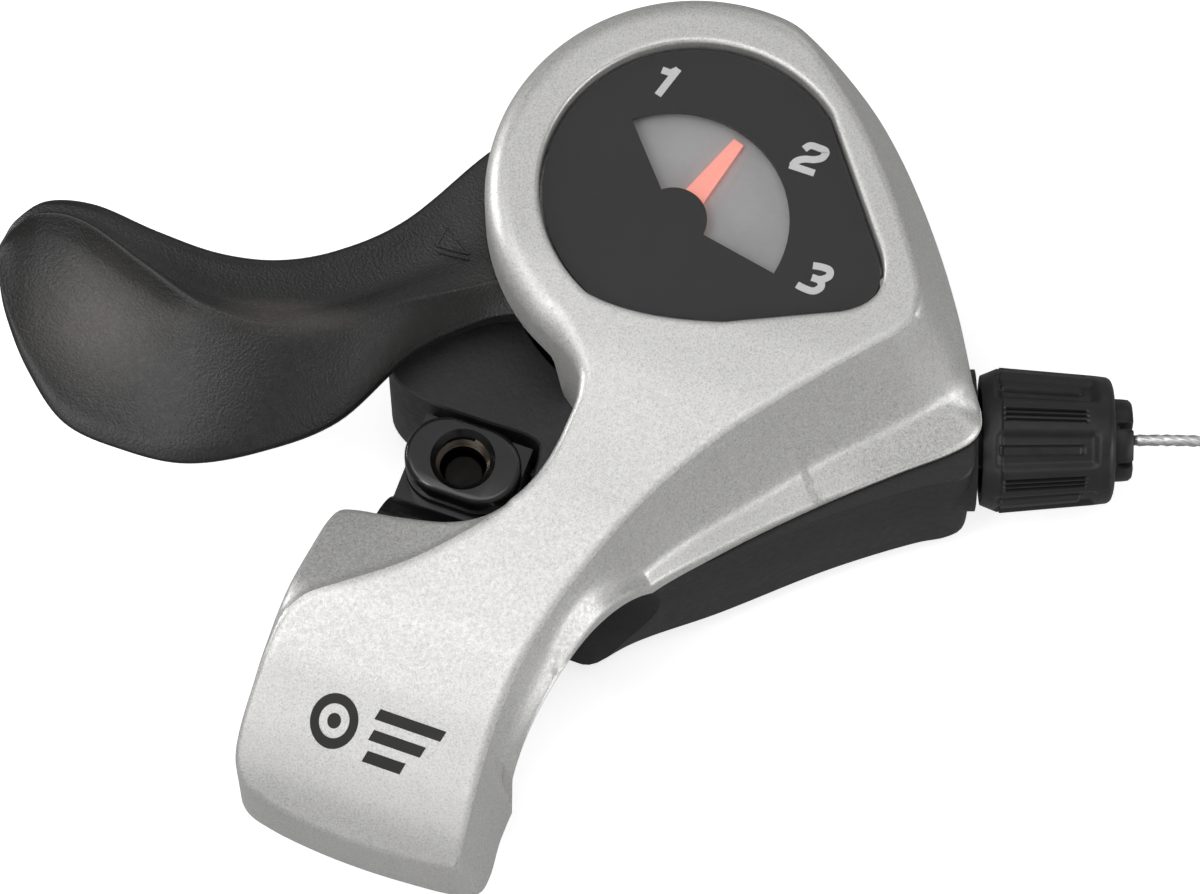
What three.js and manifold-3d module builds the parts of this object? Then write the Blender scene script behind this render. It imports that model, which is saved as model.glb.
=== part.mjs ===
// Thumb shifter for a triple chainset, left side of the handlebar, in millimetres.
// X runs along the handlebar towards the stem, +Y points forwards, +Z points up out of the dial.
// The origin is on the handlebar's axis, at the middle of the clamp band.

import * as THREE from 'three';
import { mergeVertices } from 'three/addons/utils/BufferGeometryUtils.js';
import Module from 'manifold-3d';

const wasm = await Module();
wasm.setup();

const GAP = 0.3;
const WALL = 1.8;
const DEGREE = Math.PI / 180;

// Handlebar clamp
const BAR_RADIUS = 11.1;
const BAR_CLEARANCE = 0.9;
const BAND_THICKNESS = 1.6;
const BAND_HALF_WIDTH = 5.5;
const EAR_GAP = 5.8;
const EAR_END_Y = 21;
const CLAMP_BOLT_Y = 16.5;
const CLAMP_CENTRE = new THREE.Vector2(0, CLAMP_BOLT_Y);
const CLAMP_BOLT_RADIUS = 2.35;
const CLAMP_HOLE_RADIUS = 3.2;
const CLAMP_NUT_HEIGHT = 3.2;

// Main pivot, and the drum that winds the wire
const PIVOT = new THREE.Vector2(13.2, 45.8);
const AXLE_RADIUS = 4;
const HEAD_RADIUS = 20.3;
const HUB_RADIUS = 17.9;
const DRUM_RADIUS = 18.5;
const DRUM_GROOVE_RADIUS = 16.7;
const WIRE_RADIUS = 0.6;
const WIRE_WRAP_RADIUS = 17.6;
const WIRE_Z = -1;
const NIPPLE_ANGLE = -144;
const NIPPLE_ORBIT = 16.4;
const NIPPLE_PLACE = PIVOT.clone().add(polar(NIPPLE_ORBIT, NIPPLE_ANGLE));
const NIPPLE_RADIUS = 1.9;

// Levels along the pivot, from the base's underside to the cover's rim
const BASE_BOTTOM = -10;
const BASE_FLOOR = -8;
const BASE_TOP = 6.2;
const COVER_BOTTOM = 6.5;
const HUB_BOTTOM = 6.9;
const HUB_TOP = 13.2;
const ARM_SLOT_TOP = 13.8;
const ROOF_UNDERSIDE = 16.4;
const DIAL_SEAT = 17.4;
const RIM_TOP = 21;

// Notches of the three gears, counted from the lever's rest pose, which lies between two of them
const GEAR_ANGLES = [9, -15, -39];
const DETENT_ORBIT = 11;
const DETENT_ANGLE = 60;
const BALL_PLACE = PIVOT.clone().add(polar(DETENT_ORBIT, DETENT_ANGLE));
const BALL_RADIUS = 1.5;

// Gear indicator: a pinion inside a ring gear turns the needle twice as far as the lever
const GEAR_MODULE = 0.72;
const PINION_TEETH = 10;
const RING_TEETH = 20;
const CENTRE_DISTANCE = GEAR_MODULE * (RING_TEETH - PINION_TEETH) / 2;
const MESH_ANGLE = -108;
const NEEDLE_PIVOT = PIVOT.clone().add(polar(CENTRE_DISTANCE, MESH_ANGLE));
const NEEDLE_ANGLE = 72.7;
const WINDOW_START = -11;
const WINDOW_END = 131;
const WINDOW_INNER = 3.2;
const WINDOW_OUTER = 11.1;

// Cable adjuster: its axis leaves the base at 20 degrees to the handlebar
const ADJUSTER_ANGLE = 20;
const ADJUSTER_FACE = new THREE.Vector3(45.15, 38.68, WIRE_Z);
const ADJUSTER_LENGTH = 13.2;
const ADJUSTER_RADIUS = 7.15;
const ADJUSTER_TIP = 15.05;
const CASING_SEAT_RADIUS = 2.1;

// Free wire: a short lead, then a coil on the surface that the shifter lies on
const FLOOR_Z = -(BAR_RADIUS + BAND_THICKNESS);
const LEAD_LENGTH = 26;
const COIL_MEAN_RADIUS = 14.5;
const COIL_HALF_WIDTH = 3.2;
const COIL_HEIGHT = 5;
const COIL_ENTRY_RADIUS = 17;
const TIE_THICKNESS = 0.6;

const PAINTS = {
  silver: [0xc9c7c2, 0.38, 0.6],
  blackPlastic: [0x2b2b2c, 0.6, 0],
  blackSteel: [0x1c1c1d, 0.25, 0.7],
  steel: [0x9a9a9c, 0.35, 0.9],
  brass: [0xb08d4a, 0.35, 0.9],
  nylon: [0xd8d5cc, 0.55, 0],
  dialBlack: [0x17181a, 0.3, 0],
  dialGrey: [0x8b8c8f, 0.4, 0],
  needleRed: [0xe8503c, 0.4, 0],
  clear: [0xf2f6f8, 0.05, 0],
};

const model = new THREE.Group();

// ---- helpers -------------------------------------------------------------------------------

function polar(radius, degrees) {
  return new THREE.Vector2(Math.cos(degrees * DEGREE), Math.sin(degrees * DEGREE)).multiplyScalar(radius);
}

// A closed mesh with shared corners becomes a solid; corners squeezed together at a pole drop out.
function toSolid(geometry) {
  geometry.deleteAttribute('normal');
  geometry.deleteAttribute('uv');
  const merged = mergeVertices(geometry, 1e-4);
  const corners = [];
  const index = merged.index.array;
  for (let i = 0; i < index.length; i += 3) {
    const [a, b, c] = [index[i], index[i + 1], index[i + 2]];
    if (a !== b && b !== c && c !== a) {
      corners.push(a, b, c);
    }
  }
  const vertProperties = new Float32Array(merged.attributes.position.array);
  if (signedVolume(vertProperties, corners) < 0) {
    corners.reverse();
  }
  const triVerts = new Uint32Array(corners);
  return new wasm.Manifold(new wasm.Mesh({ numProp: 3, vertProperties, triVerts }));
}

function signedVolume(positions, corners) {
  const [a, b, c] = [new THREE.Vector3(), new THREE.Vector3(), new THREE.Vector3()];
  let volume = 0;
  for (let i = 0; i < corners.length; i += 3) {
    a.fromArray(positions, corners[i] * 3);
    b.fromArray(positions, corners[i + 1] * 3);
    c.fromArray(positions, corners[i + 2] * 3);
    volume += a.dot(b.cross(c)) / 6;
  }
  return volume;
}

function toGeometry(solid) {
  const { vertProperties, triVerts } = solid.getMesh();
  const geometry = new THREE.BufferGeometry();
  geometry.setAttribute('position', new THREE.BufferAttribute(vertProperties, 3));
  geometry.setIndex(new THREE.BufferAttribute(triVerts, 1));
  geometry.computeVertexNormals();
  return geometry;
}

function add(name, paint, solid, group = model) {
  const [color, roughness, metalness] = PAINTS[paint];
  const material = new THREE.MeshStandardMaterial({ color, roughness, metalness });
  const mesh = new THREE.Mesh(toGeometry(solid), material);
  mesh.name = name;
  group.add(mesh);
}

function polygon(points) {
  return new THREE.Shape(points.map(([x, y]) => new THREE.Vector2(x, y)));
}

function extruded(shape, depth, curveSegments) {
  return new THREE.ExtrudeGeometry(shape, { depth, bevelEnabled: false, curveSegments });
}

// A plan outline raised from one level to another.
function slab(shape, low, high, curveSegments = 12) {
  return toSolid(extruded(shape, high - low, curveSegments).translate(0, 0, low));
}

// A side outline, drawn in Y and Z, swept along X.
function sweepX(shape, low, high, curveSegments = 16) {
  const [x, y, z] = [new THREE.Vector3(1, 0, 0), new THREE.Vector3(0, 1, 0), new THREE.Vector3(0, 0, 1)];
  const sideways = new THREE.Matrix4().makeBasis(y, z, x);
  return toSolid(extruded(shape, high - low, curveSegments).applyMatrix4(sideways).translate(low, 0, 0));
}

// A closed profile of [radius, level] pairs turned about the Z axis at a plan position.
function turned(profile, centre = new THREE.Vector2(), segments = 40) {
  const points = profile.map(([radius, level]) => new THREE.Vector2(radius, level));
  const geometry = new THREE.LatheGeometry([...points, points[0].clone()], segments);
  return toSolid(geometry.rotateX(Math.PI / 2).translate(centre.x, centre.y, 0));
}

function tubeRing(inner, outer, low, high, centre, segments) {
  return turned([[inner, low], [outer, low], [outer, high], [inner, high]], centre, segments);
}

function disc(radius, low, high, centre, segments = 24) {
  const geometry = new THREE.CylinderGeometry(radius, radius, high - low, segments);
  return toSolid(geometry.rotateX(Math.PI / 2).translate(centre.x, centre.y, (low + high) / 2));
}

// A cylinder along the handlebar's axis.
function barCylinder(radius) {
  const geometry = new THREE.CylinderGeometry(radius, radius, 80, 64);
  return toSolid(geometry.rotateZ(Math.PI / 2));
}

// A round tube along a curve.
function rod(curve, radius, steps, sides) {
  const corners = [];
  for (let i = 0; i < sides; i += 1) {
    corners.push(polar(radius, i * 360 / sides).toArray());
  }
  return toSolid(new THREE.ExtrudeGeometry(polygon(corners), { steps, extrudePath: curve }));
}

// Rings of equal count joined into one skin; the two end rings are capped in plan or as fans.
function loft(rings, cap) {
  const count = rings[0].length;
  const positions = rings.flat().flatMap((point) => point.toArray());
  const index = [];
  for (let level = 0; level + 1 < rings.length; level += 1) {
    for (let i = 0; i < count; i += 1) {
      const a = level * count + i;
      const b = level * count + (i + 1) % count;
      index.push(a, b, b + count, a, b + count, a + count);
    }
  }
  const last = (rings.length - 1) * count;
  for (const [a, b, c] of cap(rings[0])) {
    index.push(a, c, b);
  }
  for (const [a, b, c] of cap(rings[rings.length - 1])) {
    index.push(last + a, last + b, last + c);
  }
  const geometry = new THREE.BufferGeometry();
  geometry.setAttribute('position', new THREE.Float32BufferAttribute(positions, 3));
  geometry.setIndex(index);
  return toSolid(geometry);
}

function planCap(ring) {
  return THREE.ShapeUtils.triangulateShape(ring.map((p) => new THREE.Vector2(p.x, p.y)), []);
}

function fanCap(ring) {
  return ring.slice(2).map((_, i) => [0, i + 1, i + 2]);
}

// ---- top cover -----------------------------------------------------------------------------

// Each row pairs a point on the rim or crease with the point below it on the cover's lower edge:
// crest x, y, level, then edge x, y, then how far out and how high the shoulder between them lies.
function coverRows() {
  const rows = [];
  for (let angle = 250; angle >= 50; angle -= 20) {
    const crest = PIVOT.clone().add(polar(HEAD_RADIUS - 2.4, angle));
    const edge = PIVOT.clone().add(polar(HEAD_RADIUS, angle));
    rows.push([crest.x, crest.y, RIM_TOP, edge.x, edge.y, 0.9, 18]);
  }
  rows.push([30.8, 52.5, RIM_TOP, 34.0, 54.4, 0.9, 18]);
  rows.push([35.2, 46.0, RIM_TOP, 39.8, 46.8, 0.9, 17]);
  rows.push([37.4, 41.2, RIM_TOP, 45.0, 38.8, 0.85, 15]);
  rows.push([36.4, 38.0, 20.8, 45.0, 35.2, 0.7, 13]);
  rows.push([33.6, 35.2, 20.6, 41.5, 31.2, 0.6, 12]);
  rows.push([28.6, 29.2, 20.2, 36.0, 26.0, 0.6, 12]);
  rows.push([23.6, 22.2, 19.7, 29.5, 19.2, 0.6, 12]);
  rows.push([19.8, 15.0, 19.1, 24.0, 12.4, 0.6, 12]);
  rows.push([17.2, 8.0, 18.4, 19.8, 6.5, 0.7, 13]);
  rows.push([9.0, 8.0, 18.4, 8.0, 7.0, 0.9, 16.5]);
  rows.push([9.9, 14.0, 19.0, 8.8, 14.0, 0.9, 17]);
  rows.push([10.0, 20.0, 19.6, 9.0, 20.0, 0.9, 17]);
  rows.push([8.6, 26.6, 20.4, 7.6, 25.4, 0.9, 18]);
  return rows;
}

function smoothRing(points, count) {
  return new THREE.CatmullRomCurve3(points, true, 'centripetal').getSpacedPoints(count).slice(0, count);
}

// Moves a ring inwards by a wall's thickness, along its normals in plan.
function inset(ring, distance, lower) {
  return ring.map((point, i) => {
    const before = ring[(i + ring.length - 1) % ring.length];
    const after = ring[(i + 1) % ring.length];
    const along = new THREE.Vector2(after.x - before.x, after.y - before.y).normalize();
    return new THREE.Vector3(point.x - along.y * distance, point.y + along.x * distance, lower(point));
  });
}

function coverRings(count) {
  const rows = coverRows();
  const crest = rows.map(([x, y, z]) => new THREE.Vector3(x, y, z));
  const edge = rows.map(([, , , x, y]) => new THREE.Vector3(x, y, COVER_BOTTOM));
  const shoulder = rows.map(([, , , , , out, level], i) => {
    const point = crest[i].clone().lerp(edge[i], out);
    return point.setZ(level);
  });
  return [edge, shoulder, crest].map((points) => smoothRing(points.reverse(), count));
}

// The flap's side outline over the clamp, and the plan outline that trims it.
const FLAP_LEFT = -9.7;
const FLAP_RIGHT = 15.6;
const FLAP_TOP = [[12, 18.9], [5, 17.9], [-3, 16.6], [-10, 13.9], [-15.5, 10.5], [-19.3, 7], [-20.7, 5]];
const FLAP_REAR = [-21.2, -4.5];

function flap() {
  const thin = FLAP_TOP.map(([y, z]) => [y + WALL * 0.35, z - WALL]);
  const hood = sweepX(polygon([...FLAP_TOP, FLAP_REAR, [-19.4, -4.5], ...thin.reverse()]), FLAP_LEFT, 24);
  const cheek = polygon([...FLAP_TOP.slice(1), FLAP_REAR, [-12, -4.5], [0, 0], [5, 10]]);
  const left = sweepX(cheek, FLAP_LEFT, FLAP_LEFT + WALL);
  const right = sweepX(cheek, FLAP_RIGHT - WALL, FLAP_RIGHT);
  const trim = slab(polygon([
    [FLAP_LEFT, -22], [FLAP_LEFT, 4.6], [4.5, 7.2], [8, 12], [18.4, 12], [17.2, 8], [16.2, 4],
    [FLAP_RIGHT, -4], [FLAP_RIGHT - 0.6, -10], [FLAP_RIGHT, -22],
  ]), -12, 22);
  return hood.add(left).add(right).intersect(trim);
}

// Screws from below into the cover's posts: plan position, and how high each screw's tip reaches.
const COVER_SCREWS = [
  { place: new THREE.Vector2(35.5, 31.5), tip: 9.3 },
  { place: new THREE.Vector2(34.4, 47.6), tip: 14.3 },
  { place: new THREE.Vector2(13.4, 22.4), tip: 14.3 },
];
const SCREW_RADIUS = 1.2;
const POST_RADIUS = 2.4;

function topCover() {
  const count = 56;
  const [edge, shoulder, crest] = coverRings(count);
  const outer = loft([edge, shoulder, crest], planCap);
  const hollow = loft([
    inset(edge, WALL, () => COVER_BOTTOM - 1),
    inset(shoulder, WALL, (p) => p.z - 1.2),
    inset(crest, WALL, (p) => (p.z > 20.7 ? ROOF_UNDERSIDE : p.z - 2.6)),
  ], planCap);
  const throat = slab(polygon([[10.4, 4], [15.4, 4], [16, 12], [10.4, 12]]), COVER_BOTTOM - 1, 15.6);
  let cover = outer.subtract(hollow).add(flap()).subtract(throat);
  for (const { place, tip } of COVER_SCREWS) {
    cover = cover.add(disc(POST_RADIUS, COVER_BOTTOM + GAP, RIM_TOP, place, 16).intersect(outer));
    cover = cover.subtract(disc(SCREW_RADIUS + GAP, COVER_BOTTOM - 1, tip + GAP, place, 12));
  }
  cover = cover.subtract(slab(dialOutline(0), DIAL_SEAT, RIM_TOP + 1));
  cover = cover.subtract(disc(2.2, ROOF_UNDERSIDE - 1, DIAL_SEAT + 1, NEEDLE_PIVOT));
  cover = cover.subtract(barCylinder(BAR_RADIUS + BAR_CLEARANCE));
  const hubRoom = HUB_RADIUS + GAP;
  cover = cover.subtract(tubeRing(hubRoom - 2, hubRoom, HUB_BOTTOM - 1, ARM_SLOT_TOP, PIVOT, 48));
  return cover.subtract(slab(pieSlice(118, 263, 30), COVER_BOTTOM - 1, ARM_SLOT_TOP));
}

// The sector about the pivot that the lever's arm sweeps through.
function pieSlice(start, end, radius) {
  const shape = new THREE.Shape();
  shape.moveTo(PIVOT.x, PIVOT.y);
  shape.absarc(PIVOT.x, PIVOT.y, radius, start * DEGREE, end * DEGREE, false);
  return shape;
}

// ---- dial ----------------------------------------------------------------------------------

// Round on the left and in front, with one soft corner on the right; pulled in by a clearance.
function dialOutline(clearance) {
  const radius = 15.1 - clearance;
  const shape = new THREE.Shape();
  shape.absarc(PIVOT.x, PIVOT.y, radius, 50 * DEGREE, 246 * DEGREE, false);
  shape.quadraticCurveTo(12.2, 31.0 + clearance, 20.3, 33.6 + clearance);
  shape.lineTo(30.4 - clearance / 2, 38.4 + clearance);
  shape.quadraticCurveTo(34.9 - clearance, 41.1, 31.9 - clearance, 45.6 - clearance / 2);
  shape.closePath();
  return shape;
}

function ringSector(inner, outer, start, end) {
  const { x, y } = NEEDLE_PIVOT;
  const shape = new THREE.Path();
  shape.absarc(x, y, outer, start * DEGREE, end * DEGREE, false);
  shape.absarc(x, y, inner, end * DEGREE, start * DEGREE, true);
  shape.closePath();
  return shape;
}

function dialParts() {
  const backplate = slab(dialOutline(GAP), 17.7, 18.2).subtract(disc(1.8, 17, 19, NEEDLE_PIVOT));
  add('dial_backplate', 'dialGrey', backplate);

  const mask = dialOutline(GAP);
  mask.holes.push(ringSector(WINDOW_INNER, WINDOW_OUTER, WINDOW_START, WINDOW_END));
  add('dial_face', 'dialBlack', slab(mask, 19.2, 19.7));
  add('dial_lens', 'clear', slab(dialOutline(GAP), 20, 20.6));
}

function needle() {
  const along = polar(1, NEEDLE_ANGLE);
  const across = new THREE.Vector2(-along.y, along.x);
  const corner = (forward, sideways) => NEEDLE_PIVOT.clone()
    .addScaledVector(along, forward).addScaledVector(across, sideways).toArray();
  const blade = polygon([corner(0, -1.3), corner(10.4, -0.55), corner(10.4, 0.55), corner(0, 1.3)]);
  return slab(blade, 18.5, 18.9).add(disc(2.6, 18.5, 18.9, NEEDLE_PIVOT))
    .subtract(disc(1.4, 18, 19.4, NEEDLE_PIVOT, 16));
}

// Teeth as flat-sided wedges between two radii; a ring gear's tips lie inside its roots.
function gearShape(centre, teeth, rootRadius, tipRadius, rootHalf, tipHalf, firstAngle) {
  const points = [];
  for (let i = 0; i < teeth; i += 1) {
    const angle = firstAngle + i * 360 / teeth;
    const root = rootHalf / rootRadius / DEGREE;
    const tip = tipHalf / tipRadius / DEGREE;
    points.push(polar(rootRadius, angle - root), polar(tipRadius, angle - tip));
    points.push(polar(tipRadius, angle + tip), polar(rootRadius, angle + root));
  }
  return new THREE.Shape(points.map((point) => point.add(centre)));
}

function indicatorGears() {
  const ring = new THREE.Shape().absarc(PIVOT.x, PIVOT.y, 9.6, 0, 2 * Math.PI, false);
  const halfTooth = 180 / RING_TEETH;
  ring.holes.push(gearShape(PIVOT, RING_TEETH, 7.95, 6.75, 0.62, 0.28, MESH_ANGLE + halfTooth));
  add('ring_gear', 'nylon', slab(ring, HUB_TOP + GAP, 15.8));

  const pinion = slab(gearShape(NEEDLE_PIVOT, PINION_TEETH, 2.85, 4, 0.6, 0.25, MESH_ANGLE), 13.8, 15.8);
  add('indicator_pinion', 'nylon', pinion.add(disc(1.1, 15.5, 18.9, NEEDLE_PIVOT, 16)));
  add('indicator_needle', 'needleRed', needle());
}

// ---- base housing --------------------------------------------------------------------------

const BASE_OUTLINE_RADIUS = 19.9;

function baseOutline() {
  const shape = new THREE.Shape();
  shape.absarc(PIVOT.x, PIVOT.y, BASE_OUTLINE_RADIUS, 48 * DEGREE, 205 * DEGREE, false);
  shape.lineTo(-8.4, 33.4);
  shape.quadraticCurveTo(-11.4, 31, -11.2, 27);
  shape.quadraticCurveTo(-11, 22.4, -5.6, 21.5);
  shape.lineTo(6.4, 21.5);
  shape.lineTo(6.4, 3);
  shape.lineTo(14.4, 3.6);
  shape.lineTo(19.2, 10.2);
  shape.lineTo(26.2, 16.4);
  shape.lineTo(34.8, 25.2);
  shape.lineTo(44.2, 32);
  shape.lineTo(47.2, 33);
  shape.lineTo(42.6, 45.6);
  shape.lineTo(38.6, 46.6);
  shape.closePath();
  return shape;
}

// The part of the base that lines the bar's front quarter, under the flap's stem side.
function barSaddle() {
  const shape = new THREE.Shape();
  const inner = BAR_RADIUS + BAR_CLEARANCE;
  shape.absarc(0, 0, inner + 2.6, 20 * DEGREE, 98 * DEGREE, false);
  shape.absarc(0, 0, inner, 98 * DEGREE, 20 * DEGREE, true);
  shape.closePath();
  return sweepX(shape, 10.6, 13.3);
}

// A cylinder on the adjuster's axis, between two distances from the base's end face.
function adjusterCylinder(radius, from, to, segments = 24) {
  const geometry = new THREE.CylinderGeometry(radius, radius, to - from, segments);
  geometry.rotateZ(Math.PI / 2).translate((from + to) / 2, 0, 0).rotateZ(ADJUSTER_ANGLE * DEGREE);
  return toSolid(geometry.translate(ADJUSTER_FACE.x, ADJUSTER_FACE.y, ADJUSTER_FACE.z));
}

function baseHousing() {
  let base = slab(baseOutline(), BASE_BOTTOM, BASE_TOP);
  const pocket = polygon([[22, 26.5], [31.5, 24.8], [43, 34.4], [40.4, 43.6], [33, 50], [22, 50]]);
  base = base.subtract(slab(pocket, BASE_FLOOR, BASE_TOP + 1));
  base = base.add(adjusterCylinder(5.4, -10, -1).intersect(slab(baseOutline(), BASE_BOTTOM, BASE_TOP)));
  for (const { place } of COVER_SCREWS) {
    base = base.add(disc(2.6, BASE_BOTTOM + 0.5, BASE_TOP, place, 16));
  }
  const tongueHalf = BAND_HALF_WIDTH - GAP;
  base = base.add(sweepX(polygon([[10, -2.6], [24, -2.6], [24, 2.6], [10, 2.6]]), -tongueHalf, tongueHalf));
  base = base.add(barSaddle());
  base = base.subtract(disc(DRUM_RADIUS + GAP, BASE_FLOOR, BASE_TOP + 1, PIVOT, 64));
  base = base.subtract(barCylinder(BAR_RADIUS + BAR_CLEARANCE));
  base = base.subtract(disc(AXLE_RADIUS + GAP, BASE_BOTTOM - 1, 0, PIVOT));
  base = base.subtract(disc(5.4, BASE_BOTTOM - 1, BASE_BOTTOM + 1.2, PIVOT));
  base = base.subtract(disc(CLAMP_HOLE_RADIUS, -8, 8, CLAMP_CENTRE));
  base = base.subtract(adjusterCylinder(1.5, -28, 1, 12)).subtract(adjusterCylinder(3.3, -9.2, 1.5));
  for (const { place } of COVER_SCREWS) {
    base = base.subtract(disc(SCREW_RADIUS + GAP, BASE_BOTTOM - 1, BASE_TOP + 1, place, 12));
    base = base.subtract(disc(2.4, BASE_BOTTOM - 1, BASE_BOTTOM + 1.6, place, 16));
  }
  return base;
}

function coverScrew({ place, tip }) {
  return turned([
    [0, BASE_BOTTOM], [2.1, BASE_BOTTOM], [2.1, BASE_BOTTOM + 1.3], [SCREW_RADIUS, BASE_BOTTOM + 1.3],
    [SCREW_RADIUS, tip - 0.7], [0, tip],
  ], place, 12);
}

// ---- clamp ---------------------------------------------------------------------------------

function clampBand() {
  const outer = BAR_RADIUS + BAND_THICKNESS;
  const earLow = EAR_GAP / 2;
  const earHigh = earLow + BAND_THICKNESS;
  const innerStart = Math.asin(earLow / BAR_RADIUS);
  const outerStart = Math.asin(earHigh / outer);
  const side = new THREE.Shape();
  side.moveTo(EAR_END_Y, earLow);
  side.lineTo(EAR_END_Y, earHigh);
  side.absarc(0, 0, outer, outerStart, 2 * Math.PI - outerStart, false);
  side.lineTo(EAR_END_Y, -earHigh);
  side.lineTo(EAR_END_Y, -earLow);
  side.absarc(0, 0, BAR_RADIUS, 2 * Math.PI - innerStart, innerStart, true);
  side.closePath();
  const band = sweepX(side, -BAND_HALF_WIDTH, BAND_HALF_WIDTH, 40);
  return band.subtract(disc(CLAMP_HOLE_RADIUS, -8, 8, CLAMP_CENTRE));
}

// A flat-sided nut with round ends, its long way along the handlebar.
function clampNut() {
  const half = 1.8;
  const radius = 3.95;
  const shape = new THREE.Shape();
  shape.absarc(half, CLAMP_BOLT_Y, radius, -90 * DEGREE, 90 * DEGREE, false);
  shape.absarc(-half, CLAMP_BOLT_Y, radius, 90 * DEGREE, 270 * DEGREE, false);
  shape.closePath();
  const low = EAR_GAP / 2 + BAND_THICKNESS + GAP;
  const high = low + CLAMP_NUT_HEIGHT;
  const chamfer = turned([
    [0, high - 0.6], [2.65, high - 0.6], [3.35, high + 0.1], [0, high + 0.1],
  ], CLAMP_CENTRE, 32);
  const hole = disc(2.65, low - 1, high + 1, CLAMP_CENTRE, 32);
  return slab(shape, low, high, 16).subtract(hole).subtract(chamfer);
}

function clampBolt() {
  const headTop = -(EAR_GAP / 2 + BAND_THICKNESS + 2 * GAP + 0.8);
  const bolt = turned([
    [0, headTop - 3.6], [3.6, headTop - 3.6], [3.9, headTop - 3.2], [3.9, headTop],
    [CLAMP_BOLT_RADIUS, headTop], [CLAMP_BOLT_RADIUS, 3.4], [1.8, 4], [0, 4],
  ], CLAMP_CENTRE, 24);
  return bolt.subtract(disc(2.3, headTop - 5, headTop - 1, CLAMP_CENTRE, 6));
}

// ---- pivot, drum and detent ----------------------------------------------------------------

function pivotStack() {
  add('pivot_axle', 'steel', turned([
    [0, BASE_BOTTOM], [5, BASE_BOTTOM], [5, BASE_BOTTOM + 0.9], [AXLE_RADIUS, BASE_BOTTOM + 0.9],
    [AXLE_RADIUS, 12.8], [AXLE_RADIUS - 0.5, HUB_TOP], [0, HUB_TOP],
  ], PIVOT, 24));
  add('hub_bush', 'brass', tubeRing(AXLE_RADIUS + GAP, 5.3, -6.2, 8.6, PIVOT, 24));
  add('thrust_washer', 'steel', tubeRing(AXLE_RADIUS + GAP, 7.2, 9.2, 9.8, PIVOT, 24));
  add('spring_washer', 'steel', turned([[4.3, 10.7], [7, 10.1], [7, 10.5], [4.3, 11.1]], PIVOT, 24));
  add('lock_nut', 'steel', disc(5.8, 11.4, HUB_TOP - 0.1, PIVOT, 6)
    .subtract(disc(AXLE_RADIUS + GAP, 10, 14, PIVOT)));
}

function detentPlate() {
  let plate = tubeRing(AXLE_RADIUS + GAP, 14.5, -7.7, -6.7, PIVOT, 40);
  for (const gear of GEAR_ANGLES) {
    const place = PIVOT.clone().add(polar(DETENT_ORBIT, DETENT_ANGLE + gear));
    plate = plate.subtract(disc(1, -9, -6, place, 12));
  }
  return plate;
}

function detentBall() {
  const geometry = new THREE.SphereGeometry(BALL_RADIUS, 14, 10);
  return toSolid(geometry.translate(BALL_PLACE.x, BALL_PLACE.y, -6.7 + GAP + BALL_RADIUS));
}

// A coil spring of round wire standing on a plane, its axis along Z.
function coilSpring(radius, wire, low, high, turns, centre) {
  const points = [];
  const stepsPerTurn = 10;
  for (let i = 0; i <= turns * stepsPerTurn; i += 1) {
    const turn = i / stepsPerTurn;
    const place = polar(radius, turn * 360).add(centre);
    points.push(new THREE.Vector3(place.x, place.y, low + wire + (high - low - 2 * wire) * turn / turns));
  }
  return rod(new THREE.CatmullRomCurve3(points), wire, turns * stepsPerTurn, 6);
}

function cableDrum() {
  const low = WIRE_Z - 1.8;
  const high = WIRE_Z + 1.8;
  let drum = turned([
    [5.6, -6.2], [14.2, -6.2], [14.2, low], [DRUM_RADIUS, low], [DRUM_RADIUS, WIRE_Z - 0.95],
    [DRUM_GROOVE_RADIUS, WIRE_Z - 0.95], [DRUM_GROOVE_RADIUS, WIRE_Z + 0.95], [DRUM_RADIUS, WIRE_Z + 0.95],
    [DRUM_RADIUS, high], [10.5, high], [10.5, 6.6], [5.6, 6.6],
  ], PIVOT, 44);
  drum = drum.subtract(disc(BALL_RADIUS + GAP, -7, -0.6, BALL_PLACE, 16));
  return drum.subtract(disc(NIPPLE_RADIUS + GAP, low - 1, high + 1, NIPPLE_PLACE, 20));
}

// ---- thumb lever ---------------------------------------------------------------------------

// Stations from the root to the tip: front top edge, ridge, and lower rear edge, each x, y, z.
const LEVER_STATIONS = [
  [[-2.2, 52.0, 13.1], [-1.0, 44.0, 13.1], [0.6, 33.4, 12.4], 8.6],
  [[-7.6, 46.3, 13.3], [-5.6, 39.6, 13.2], [-3.4, 31.6, 12.4], 8.6],
  [[-13.3, 35.3, 14.0], [-10.8, 31.2, 14.0], [-7.8, 25.2, 11.2], 8.4],
  [[-17.7, 30.3, 15.2], [-15.6, 25.8, 15.6], [-12.0, 15.6, 11.6], 9.0],
  [[-22.5, 26.6, 16.4], [-21.0, 21.6, 17.4], [-18.1, 9.5, 12.6], 10.2],
  [[-27.8, 24.7, 18.0], [-27.4, 19.4, 19.0], [-24.0, 5.8, 13.4], 11.2],
  [[-33.9, 24.2, 19.6], [-33.8, 19.2, 20.0], [-30.0, 4.8, 14.0], 11.9],
  [[-40.1, 24.6, 20.8], [-40.2, 20.0, 20.6], [-36.2, 5.2, 14.8], 12.6],
  [[-44.8, 23.6, 21.0], [-44.9, 19.6, 20.6], [-41.2, 8.4, 15.8], 14.0],
  [[-47.4, 19.8, 20.0], [-47.2, 17.4, 19.6], [-45.6, 13.0, 17.6], 16.2],
];
const LEVER_SKIN = 2.6;

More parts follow.
